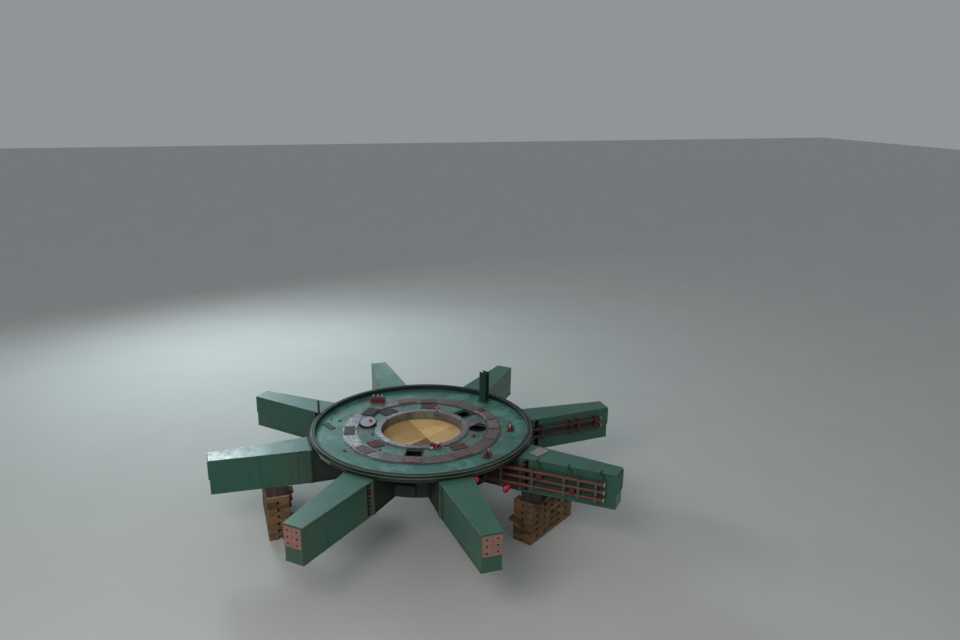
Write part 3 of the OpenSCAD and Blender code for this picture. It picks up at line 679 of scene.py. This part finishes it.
def cover():
    """The boards over the well: sectors that slope from a flat edge to one low point, each with painted light
    or shade in its tone.
    """
    b = Build()
    low_x, low_y, low_z = COVER_LOW
    for first, last, tone in SHADED_SECTORS:
        n = max(3, round((last - first) / 5))
        headings = spread(first, last, n)
        # Each sector's tone is painted light or shade.
        for drop, face_tone in ((0, tone), (COVER_T, (0.5, 0.48, 0.44))):
            verts = []
            for az in headings:
                verts.append(polar(COVER_R, az, COVER_Z - drop))
                x, y, _ = polar(DISH_R, az)
                for t in (0, 0.25, 0.5, 0.75):
                    verts.append((x * (1 - t) + low_x * t, y * (1 - t) + low_y * t,
                                  COVER_Z + (low_z - COVER_Z) * t - drop))
            verts.append((low_x, low_y, low_z - drop))
            faces = []
            for p in range(0, 5 * n, 5):
                faces += [[p + j, p + j + 1, p + j + 6, p + j + 5] for j in range(4)]
                faces.append([p + 4, len(verts) - 1, p + 9])
            b.add(verts, faces, tone=face_tone)
        edge = [polar(COVER_R, az, COVER_Z - drop) for az in headings for drop in (0, COVER_T)]
        b.add(edge, ribbon(n), tone=tone)
    b.make("cover_boards", [M["cover_sheet"]], "well_cover", smooth=20)


def lid():
    """A round cover cut on the slant, with a rolled edge and a red knob."""
    r, mid, tilt, n = 0.205, 0.090, 14, 64
    az, faces_to = 153, 250
    fall = math.tan(math.radians(tilt))
    at = on_deck(az, HATCH_R, TOP, faces_to - az)
    b = Build()
    # From the foot inwards: radius, and height over the slant
    rings = [(r, None), (r, -0.012), (r - 0.004, 0.0), (r - 0.020, 0.0), (r - 0.024, -0.003)]
    rings = [[(x, y, 0 if lift is None else mid - fall * x + lift) for x, y, _ in circle(rad, n)]
             for rad, lift in rings]
    for k, (outer, inner) in enumerate(zip(rings, rings[1:])):
        faces = [[i, (i + 1) % n, n + (i + 1) % n, n + i] for i in range(n)]
        b.add(outer + inner, faces, at, mat=1 if k < 3 else 0)
    b.add(rings[-1] + [(0, 0, mid - 0.003)], [[i, (i + 1) % n, n] for i in range(n)], at)
    knob = at @ move(0, 0, mid) @ turn(tilt, "Y") @ move(0, 0.0683, 0)
    b.lathe([(0.024, -0.01), (0.024, 0.012), (0.0375, 0.020), (0.0375, 0.034), (0.030, 0.044), (0, 0.045)],
            knob, 32, mat=2, tone=(0.62, 0.6, 0.7))
    b.make("port_lid_slanted", [M["lid_paint"], DARK, M["cap_paint"]], "port_lid")


def port_collar():
    """The rolled collar of the open port, and the pink crescent of a cover pushed aside in it."""
    b = Build()
    at = on_deck(344, HATCH_R)
    b.lathe([(0.2003, 0.0), (0.2003, 0.022), (0.204, 0.026), (0.209, 0.026), (0.2103, 0.022),
             (0.2103, 0.003), (0.228, 0.003), (0.229, 0.0)], at, 64)
    n, outer = 18, 0.2095
    verts, faces = [], []
    for i in range(n + 1):
        inner = outer - 0.088 * math.sin(math.pi * i / n)
        verts += [polar(r, 80 + 108 * i / n, z) for r in (outer, inner) for z in (0.027, 0.0285)]
    for p in range(0, 4 * n, 4):
        q = p + 4
        faces += [[p + 1, q + 1, q + 3, p + 3], [p, p + 2, q + 2, q],
                  [p + 2, p + 3, q + 3, q + 2], [p, q, q + 1, p + 1]]
    b.add(verts, faces, at, mat=1, tone=(1.0, 2.2, 1.9))
    b.make("port_collar", [DARK, M["cap_paint"]])


def well_marks():
    """Dark blocks as painted shade for the slots at the bore's edge, joints of the lining on its wall, and
    one green panel of it.
    """
    b = Build()
    # Painted shade: dark blocks stand where the slots are.
    for az in (134.6, 3.4):
        at = on_deck(az, WELL_R, RING_TOP)
        b.box((-0.002, -0.030, -0.050), (0.040, 0.030, 0.0008), at, 0.001)
    for az, w in ((96.6, 0.010), (93.5, 0.014), (88.0, 0.010), (56.0, 0.010)):
        at = on_deck(az, WELL_R, RING_TOP)
        b.box((-0.003, -w / 2, -0.186), (0.001, w / 2, -0.006), at, 0.001)
    b.make("well_slots", [DARK])
    b = Build()
    n, heights = 16, (RING_TOP - 0.185, RING_TOP - 0.008)
    b.add([polar(WELL_R - 0.0015, az, z) for az, z in product(spread(57, 87.4, n), heights)], ribbon(n))
    b.make("well_lining", [LINING])


# Fittings on the deck

def fittings():
    """The valve bank, the pumps, the pot bracket and its tray, the rods, and the well's guide."""
    b = Build()
    red, cap, pale, dark = 0, 1, 2, 3
    bank = on_deck(108, GUTTER_R - 0.375, TOP, -37)
    b.slab(0.140, 0.380, 0.080, bank, 0.008, tone=(1, 0.9, 0.9))
    b.box((-0.060, -0.185, 0.078), (-0.020, 0.185, 0.110), bank, 0.004, tone=0.6)
    for y in (-0.110, 0, 0.110):
        at = bank @ move(0, y, 0)
        b.lathe([(0.022, 0.078), (0.022, 0.130), (0.016, 0.138), (0.012, 0.150)], at, 24,
                tone=(1.2, 1.0, 1.0))
        b.lathe([(0.019, 0.140), (0.019, 0.168), (0.014, 0.179), (0, 0.180)], at, 24, mat=pale)
        b.bolt(at @ move(0.050, 0.055, 0.080), 0.022, 0.012, stud=0, mat=dark)

    def pump(at, size, top_mat, hose=True):
        b.slab(size, size, 0.3 * size, at, 0.006)
        if hose:
            b.slab(0.170, 0.250, 0.030, at, 0.006, tone=0.8)
            b.rod(0.022, 0.135, at @ move(0.020, -0.104, 0.028), tone=0.6)
            b.rod(0.030, 0.070, at @ move(-0.030, 0.095, 0.028))
            b.tube([(0.020, -0.104, 0.150), (0.0, -0.050, 0.185), (-0.010, 0.040, 0.170),
                    (-0.030, 0.095, 0.095)], 0.009, 10, at, mat=dark)
            b.box((-0.020, 0.078, 0.096), (0.020, 0.112, 0.128), at, 0.004, mat=pale)
        b.lathe([(0.30 * size, 0.3 * size), (0.27 * size, 0.42 * size), (0.21 * size, 0.5 * size)], at, 24)
        b.lathe([(r * size, z * size) for r, z in ((0.22, 0.48), (0.16, 0.86), (0.12, 0.9), (0, 0.9))],
                at, 24, mat=top_mat, tone=(1.2, 1.3, 1.3))
        for x, y in product((-0.4, 0.4), repeat=2):
            b.bolt(at @ move(x * size, y * size, 0.3 * size), 0.10 * size, 0.06 * size, stud=0, mat=dark)
        arm = [(0.26 * size, 0, 0.42 * size), (0.42 * size, 0, 0.46 * size), (0.47 * size, 0, 0.8 * size)]
        b.tube(arm, 0.06 * size, 10, at)

    pump(on_deck(340.3, GUTTER_R - 0.340), 0.150, pale)
    pump(on_deck(298, GUTTER_R - 0.350, TOP, 30), 0.140, cap)
    pump(on_deck(322, HATCH_R - 0.030), 0.090, cap, hose=False)
    pots = on_deck(271, (WELL_R + WELL_RING_R) / 2, RING_TOP)
    b.slab(0.090, 0.240, 0.035, pots, 0.005, tone=(0.9, 0.7, 0.7))
    for y, mat in ((-0.070, red), (0.070, pale)):
        b.lathe([(0.040, 0.034), (0.040, 0.070), (0.034, 0.079), (0.020, 0.080), (0.018, 0.074), (0, 0.074)],
                pots @ move(0, y, 0), 28, mat=mat)
    tray = on_deck(267.5, WELL_RING_R + 0.040)
    b.slab(0.056, 0.260, 0.018, tray, 0.004, tone=(1.3, 1.5, 1.5))
    b.box((-0.022, -0.080, 0.016), (0.022, -0.010, 0.050), tray, 0.005, mat=pale, tone=(1.0, 0.8, 0.82))
    b.rod(0.020, 0.060, tray @ move(0, 0.060, 0.016), mat=cap, tone=(1.0, 1.6, 1.4))
    for y in (-0.108, 0, 0.108):
        b.bolt(pots @ move(0, y, 0.035), 0.020, 0.010, stud=0, mat=dark)

    # Rods with a ball: place, height and the ball's radius
    for at, h, wide in ((on_deck(52, WELL_R + 0.025, RING_TOP), 0.135, 0.052),
                        (on_deck(275.5, WELL_RING_R + 0.050), 0.140, 0.032)):
        b.lathe([(0.012, 0), (0.012, 0.030), (0.009, 0.034), (0.009, 0.044), (0.012, 0.048),
                 (0.012, h - 0.050)], at, mat=dark)
        b.lathe([(0.0125, 0.052), (0.0125, 0.066)], at, mat=pale)
        mid, tall = h - 0.030, 0.9 * min(wide, 0.040)
        ball = [(wide * math.sin(a), mid - tall * math.cos(a)) for a in spread(0, math.pi, 9)[1:-1]]
        b.lathe([(0, mid - tall)] + ball + [(0, mid + tall)], at, 24, mat=cap, tone=(1.3, 1.9, 1.6))
    guide = on_deck(52, WELL_R - 0.010, COVER_Z + 0.001)
    ends = (0, 0.06, 0.085, 0.15, 0.172, 0.196)
    for i, (z0, z1) in enumerate(zip(ends, ends[1:])):
        b.lathe([(0.013, z0), (0.013, z1)], guide, 16, mat=pale if i % 2 else dark)
    b.make("deck_fitting_set", [M["fitting_paint"], M["cap_paint"], PALE, DARK],
           "deck_fittings")


def deck_litter():
    """Clips, a curved rod and a strip on the hub, and strips and a bar on the band."""
    b = Build()
    dark, red, pale, yellow, worn = range(5)
    # Clips
    for az, r, w, d, h, spin in (
            (148.2, 2.292, 0.090, 0.030, 0.014, 20), (150, 2.048, 0.110, 0.026, 0.016, -30),
            (197.9, 2.056, 0.100, 0.028, 0.014, 10), (214.6, 1.455, 0.060, 0.040, 0.010, 0),
            (178.7, 1.187, 0.080, 0.022, 0.012, 35)):
        at = on_deck(az, r, TOP, spin)
        b.slab(d, w, h, at, mat=dark)
        b.rod(d * 0.32, h * 0.8, at @ move(0, w * 0.2, h), 10, mat=dark)
    b.slab(0.040, 0.080, 0.012, on_deck(208.8, 2.387), mat=red)
    b.slab(0.030, 0.070, 0.010, on_deck(322.6, 1.395), mat=red)
    b.tube([polar(1.585 + 0.030 * math.sin(math.pi * t), 19.5 - 21 * t, RING_TOP + 0.009)
            for t in spread(0, 1, 10)], 0.009, 10, mat=pale)
    b.tube([polar(1.128 + 0.062 * t ** 2, 262 + 20 * t, TOP + 0.006) for t in spread(0, 1, 14)],
           0.006, 8, mat=yellow)
    for first, last, z in ((153, 162, 2.126), (195.5, 205.5, 2.126), (196.5, 206, 2.090)):
        b.tube([polar(2.622, az, z) for az in spread(first, last, 8)], 0.008, 8, mat=worn)
    b.slab(0.040, 0.060, 0.140, on_deck(147, 2.634, 2.075), 0.004, mat=dark)
    b.tube([polar(2.640, 147, 2.190), polar(2.700, 144.5, 2.470)], 0.026, 12, mat=dark)
    b.make("deck_clips", [DARK, M["fitting_paint"], PALE, STRIP, STRIP_WORN])


def hub_bolts():
    """Countersunk screws in the machined rings, foot bolts of the post, and the panel's bolts."""
    b = Build()
    for count, r, flat in ((72, RING_OUT - 0.016, 0.020), (36, RING_IN + 0.018, 0.018),
                           (40, WELL_RING_R - 0.018, 0.018)):
        for i in range(count):
            b.bolt(on_deck(360 * (i + 0.37) / count, r, RING_TOP) @ turn(i * 31), flat, 0.004, True, 0)
    for side, y in product(SIDES, (-0.110, 0.110)):
        b.bolt(POST_FOOT @ move(side * 0.090, y, 0) @ turn(70 * side), 0.026, 0.016)
    panel = turn(243) @ move(DRUM_R + 0.060, 0, UNDER + 0.040)
    for y, z in product((-0.21, -0.07, 0.07, 0.21), (0.030, 0.250)):
        b.bolt(panel @ move(0, y, z) @ OUT, 0.028, 0.010, True, 0, mat=1)
    b.make("hub_bolts", [BOLT, DARK])


def post_details():
    """Weld beads along both feet of the post's flanges."""
    b = Build()
    for x, s in product((-0.075, 0.075), SIDES):
        at_x = x + (0.001 if x < 0 else -0.001) * s
        b.tube([(at_x, -0.098, 0), (at_x, 0.098, 0)], 0.006, 8, POST_FOOT)
    b.make("post_beads", [WELD])


# Pipes

DRAIN_R, DRAIN_TILT = 0.035, 23


def capped_pipes():
    """The sloping drain, the valve pipe and the straight pipe between arms 7 and 8."""
    b = Build()
    cap, dark = 1, 2
    dull = (0.45, 0.55, 0.55)

    def plug(at, r, t):
        b.lathe([(r * 0.5, 0), (r * 0.94, 0), (r, 0.12 * t), (r, 0.8 * t), (r * 0.92, t), (r * 0.60, t),
                 (r * 0.56, 0.86 * t), (0, 0.86 * t)], at, 36, mat=cap)
        b.slab(r, r * 0.18, 0.16 * t, at @ move(0, 0, 0.84 * t), 0.004, mat=cap, tone=(1.5, 2.4, 1.9))

    start = DRUM_R + DRAIN_R * math.sin(math.radians(DRAIN_TILT)) + SEAT
    drain = turn(299.7) @ move(start, 0, UNDER + 0.480) @ turn(90 + DRAIN_TILT, "Y")
    b.lathe([(DRAIN_R, 0), (DRAIN_R, 0.772)], drain, 24, tone=dull)
    b.lathe([(DRAIN_R, 0.02), (0.043, 0.024), (0.043, 0.05), (DRAIN_R, 0.054)], drain, 24, mat=dark)
    plug(drain @ move(0, 0, 0.770), 0.105, 0.070)

    valve = turn(294.5) @ move(DRUM_R + SEAT, 0, UNDER + 0.330)
    for section, n in (([(0.045, 0), (0.045, 0.262)], 24),
                       ([(0.045, 0.12), (0.060, 0.125), (0.066, 0.19), (0.060, 0.255), (0.045, 0.258)], 24),
                       ([(0.045, 0.260), (0.081, 0.260), (0.081, 0.300), (0.035, 0.300), (0.030, 0.292),
                         (0, 0.292)], 32)):
        b.lathe(section, valve @ OUT, n, tone=dull)
    for i in range(6):
        b.bolt(valve @ OUT @ turn(60 * i) @ move(0.062, 0, 0.300), 0.020, 0.0, False, 0, mat=dark)
    stem = valve @ move(0.190, 0, 0)
    b.lathe([(0.0225, 0), (0.0225, 0.150), (0.012, 0.160), (0.012, 0.230), (0, 0.230)], stem, tone=dull)
    wheel, wheel_r = stem @ move(0, 0, 0.215), 0.078
    b.tube(circle(wheel_r, 32, closed=True), 0.011, 10, wheel, ends=False, mat=dark)
    for i in range(3):
        b.tube([(0, 0, 0), (wheel_r, 0, 0)], 0.006, 8, wheel @ turn(120 * i), mat=dark)

    vent = arm_at(6) @ move(1.8045, 0.434, DECK_UNDER - 0.027) @ OUT
    b.lathe([(0.025, 0), (0.025, 0.852)], vent, 24, tone=dull)
    plug(vent @ move(0, 0, 0.8505), 0.055, 0.050)
    b.make("capped_pipe_set", [M["pipe_paint"], M["cap_paint"], DARK], "capped_pipes")


# The arms' pipes: radius, gap to the web, pitch, length, start, and height of the upper one
PIPE_R, PIPE_GAP, PITCH, RUN, START, PIPE_Z = 0.042, 0.045, 0.180, 2.600, 2.000, 0.565
STRAP_W, STRAP_T, STRAP_END = 0.050, 0.014, 0.040


def along_web(k):
    """On the right web of an arm, with the local X along it."""
    return arm_at(k) @ move(JOINT_R, WEB_INSET - ROOT_W / 2, UNDER + PIPE_Z) @ turn(ARM_SLOPE)


def arm_pipes(k, rows, boxes, tone):
    """Pipes with couplings, saddles and pale ends; boxes are distance, length and row."""
    b = Build()
    rng = random.Random(30 + k)
    base = along_web(k) @ move(START - JOINT_R, -PIPE_GAP - PIPE_R, 0)
    for row in range(rows):
        at = base @ move(0, 0, -row * PITCH) @ OUT
        own = rng.uniform(0.85, 1.15) * tone
        b.lathe([(0, 0), (PIPE_R, 0), (PIPE_R, RUN - 0.068)], at, 28, tone=own)
        b.lathe([(PIPE_R, RUN - 0.070), (0.052, RUN - 0.066), (0.052, RUN - 0.030), (0.047, RUN - 0.026),
                 (0.047, RUN - 0.020)], at, 28, tone=own)
        b.lathe([(0.047, RUN - 0.022), (0.052, RUN - 0.020), (0.052, RUN - 0.004), (0.048, RUN), (0.036, RUN),
                 (0.034, RUN - 0.010), (0, RUN - 0.010)], at, 28, mat=1)
        for x in (0.52 + 0.07 * row, 1.46 - 0.09 * row):
            b.lathe([(PIPE_R, x), (PIPE_R + 0.003, x + 0.004), (PIPE_R + 0.003, x + 0.046),
                     (PIPE_R, x + 0.050)], at, 28, tone=0.7)
    for x, length, row in boxes:
        lo = (JOINT_R - START + x, -PIPE_R + 0.004, -(row + 1) * PITCH + 0.004)
        hi = (JOINT_R - START + x + length, PIPE_R - 0.004, -row * PITCH - 0.004)
        b.box(lo, hi, base, 0.010, tone=(0.75, 0.7, 0.7))
        for z, u in product((0.25, 0.75), repeat=2):
            spot = base @ move(lo[0] + length * u, lo[1], lo[2] + (hi[2] - lo[2]) * z) @ FRONT
            b.bolt(spot, 0.018, 0.004, False, 0, mat=2)
    b.make(f"oil_pipes_{k + 1}", [M["pipe_paint"], PIPE_END, DARK], f"pipes_{k + 1}")


def straps(k, rows, gaps, hooks, slot):
    """Flat straps with their bolts and wire saddles at gaps past the pocket, and hooks over the arm."""
    b = Build()
    low, high = -(rows - 1) * PITCH - PIPE_R - STRAP_END, PIPE_R + STRAP_END
    deep = PIPE_GAP + 2 * PIPE_R + 0.016
    web = along_web(k)
    for gap in gaps:
        x = POCKET_END - JOINT_R + gap
        mid = x + STRAP_W / 2
        back = max(0.0, -x - STRAP_W) * TAPER - SEAT
        b.box((x, -deep, low), (x + STRAP_W, -deep + STRAP_T, high), web, 0.003)
        b.box((x + 0.005, back - 0.018, low), (x + 0.045, back, high), web, 0.003, tone=0.8)
        for z in [high - 0.016, low + 0.016] + [-(row + 0.5) * PITCH for row in range(rows - 1)]:
            b.rod(0.009, deep - STRAP_T + back, web @ move(mid, -deep + STRAP_T, z) @ BACK, 10, mat=1)
            b.bolt(web @ move(mid, -deep, z) @ FRONT @ turn(gap * 400), 0.026, 0.0, True, 0, mat=1)
        for row in range(rows):
            saddle = [(mid, -PIPE_GAP - PIPE_R + (PIPE_R + 0.002) * math.sin(a),
                       -row * PITCH + (PIPE_R + 0.002) * math.cos(a)) for a in spread(0, math.pi, 12)]
            b.tube(saddle, 0.0016, 8, web, mat=1)
    hook_w, hook_t, tilt = 0.036, 0.010, 35
    lean = math.radians(tilt)
    top = TOP - UNDER - PIPE_Z + hook_t
    reach = WEB_INSET + PIPE_GAP
    drop = (top - high - SEAT - hook_w * math.sin(lean)) / math.cos(lean)
    for x in hooks:
        at = web @ move(x, -reach, top)
        b.box((0, 0, -hook_t), (hook_w, reach + 0.110, 0), at, 0.002, mat=1)
        b.box((0, 0, -drop), (hook_w, hook_t, 0), at @ turn(-tilt, "Y"), 0.002, mat=1)
        b.bolt(at @ move(hook_w / 2, reach + 0.085, 0), 0.018, 0.004, False, 0, mat=1)
    b.make(f"pipe_straps_{k + 1}", [M[slot], HOOK], f"clamps_{k + 1}")


# Cribs: arm, radius, side of the arm and turn
CRIBS = {2: (1, 2.940, -1, 12), 3: (2, 3.440, 1, 0), 5: (4, 3.440, -1, 0), 8: (7, 2.940, 1, -12)}
BLOCK_H, LAYERS = 0.270, 12


def crib(n, k, radius, side, spin):
    """Layers of sawn baulks, with the odd one a little out of line."""
    rng = random.Random(100 + n)
    b = Build()
    length, width, baulk_w, lay = 1.740, 0.490, 0.220, (UNDER - BLOCK_H) / LAYERS
    at = arm_at(k) @ move(radius, side * 0.515, 0) @ turn(spin) @ move(-width / 2, -length / 2, 0)
    step = baulk_w + (length - 6 * baulk_w) / 5

    def baulk(lo, hi, along_x):
        j = [rng.uniform(-0.004, 0.004) for _ in range(2)]
        t = rng.uniform(0.50, 1.22)
        tone = (t * rng.uniform(0.96, 1.08), t, t * rng.uniform(0.86, 1.0))
        off = Vector([rng.uniform(-9, 9) for _ in range(3)])
        order = (0, 1, 2) if along_x else (1, 0, 2)
        gap = (0.0015, 0.0015, 0.00045)
        b.box([v + g for v, g in zip(lo, gap)], [v - g for v, g in zip(hi, gap)],
              at @ move(j[0] * 0.5, j[1], 0), 0.006, tone=tone,
              grain=lambda p: Vector([p[i] for i in order]) + off)

    for layer in range(LAYERS):
        z = layer * lay
        if layer % 2 == 0:
            for x in (0, width - baulk_w):
                cut = rng.uniform(0.35, 0.65) * length
                baulk((x, 0, z), (x + baulk_w, cut, z + lay), False)
                baulk((x, cut, z), (x + baulk_w, length, z + lay), False)
        else:
            for i in range(6):
                out = 0.130 if (i + layer) % 5 == 0 else 0
                baulk((-out, i * step, z), (width, i * step + baulk_w, z + lay), True)
    b.make(f"crib_{n}_baulks", [M["timber"]], f"crib_{n}")


def blocks():
    """Dark pedestals between the cribs and the arms: two plates, a body and ribs. 5 is paler."""
    foot = 0.028
    for n, (k, radius, _, _) in CRIBS.items():
        b = Build()
        mat, t = (1, 1.0) if n == 5 else (0, 0.5)
        at = arm_at(k) @ move(radius, 0, UNDER - BLOCK_H)
        core, core_h = at @ move(0, 0, foot - 0.002), BLOCK_H - 2 * foot + 0.004
        b.slab(0.500, 0.640, foot, at, mat=mat, tone=t)
        b.slab(0.500, 0.640, foot, at @ move(0, 0, BLOCK_H - foot), tone=t)
        b.slab(0.444, 0.584, core_h, core, 0.004, tone=t)
        for y in (-0.26, -0.13, 0, 0.13, 0.26):
            b.slab(0.488, 0.016, core_h, core @ move(0, y, 0), 0.002, tone=t)
        for x in (-0.18, 0, 0.18):
            b.slab(0.016, 0.628, core_h, core @ move(x, 0, 0), 0.002, tone=t)
        b.make(f"block_{n}_pedestal", [M["block_paint"], PALE_BOARD], f"block_{n}")


joint_bolts()
arm_welds()
pads()
for n, args in CRIBS.items():
    crib(n, *args)
blocks()
loose_plates()
rim()
cover()
lid()
fittings()
capped_pipes()
arm_pipes(7, 3, [(0.400, 0.140, 0), (1.165, 0.120, 1)], 0.95)
arm_pipes(0, 2, [], 0.40)
straps(7, 3, (-0.630, 0.095, 0.815, 1.135, 1.515), (0.380, 1.080, 1.790), "clamp_paint")
straps(0, 2, (0.015, 0.815, 1.045, 1.525), (), "clamp_rust")
hub_bolts()
port_collar()
post_details()
well_marks()
deck_litter()
joint_cover_face()


# Camera, floor and light. The camera's numbers come from the fit to the photo's perspective.

YAW, PITCH_DOWN, ROLL = -19.5391, 16.6024, 0.6655
camera = bpy.data.cameras.new("camera")
camera.lens = 29.6546
camera.sensor_width = 36
camera_object = placed("camera", camera)
camera_object.matrix_world = (turn(YAW) @ move(1.3453, -17.2542, 9.9528) @ turn(90 - PITCH_DOWN, "X")
                              @ turn(ROLL))
bpy.context.scene.camera = camera_object

floor_mesh = bpy.data.meshes.new("floor")
floor_mesh.from_pydata([(-120, -120, 0), (120, -120, 0), (120, 120, 0), (-120, 120, 0)], [], [(0, 1, 2, 3)])
floor = placed("floor", floor_mesh)
ground = Shader("floor_pale", 0.75)
ground.c = ground.mix(ground.noise(0.5, 5), lin(196, 196, 192), lin(206, 206, 202))
floor_mesh.materials.append(ground.done())

world = bpy.data.worlds.new("studio")
world.use_nodes = True
sky = world.node_tree.nodes["Background"].inputs
sky["Color"].default_value = (0.80, 0.86, 0.92, 1)
sky["Strength"].default_value = 0.35
bpy.context.scene.world = world


def softbox(name, az, dist, height, size, power, colour):
    """An area light aimed at the deck; az is 0 away from the camera and 90 to its left."""
    light = bpy.data.lights.new(name, "AREA")
    light.shape = "RECTANGLE"
    light.size, light.size_y = size
    light.energy = power
    light.color = colour
    o = placed(name, light)
    o.location = polar(dist, 90 + az + YAW, height)
    o.rotation_euler = (Vector((0, 0, 1.8)) - o.location).to_track_quat("-Z", "Y").to_euler()
    o.visible_camera = False


softbox("glare", 39, 17.5, 9.9, (10, 5), 540, (0.66, 0.94, 1.0))
softbox("glare_end", 36.5, 19, 10.7, (3.4, 3.0), 760, (0.92, 0.98, 1.0))
softbox("glare_low", 13, 17, 6.2, (6, 3), 110, (0.62, 0.95, 0.92))
softbox("key", 164, 14, 12, (8, 6), 820, (1.0, 0.98, 0.95))
softbox("fill", -130, 14, 9, (8, 6), 68, (1.0, 0.98, 0.95))
bpy.context.scene.view_settings.view_transform = "Standard"
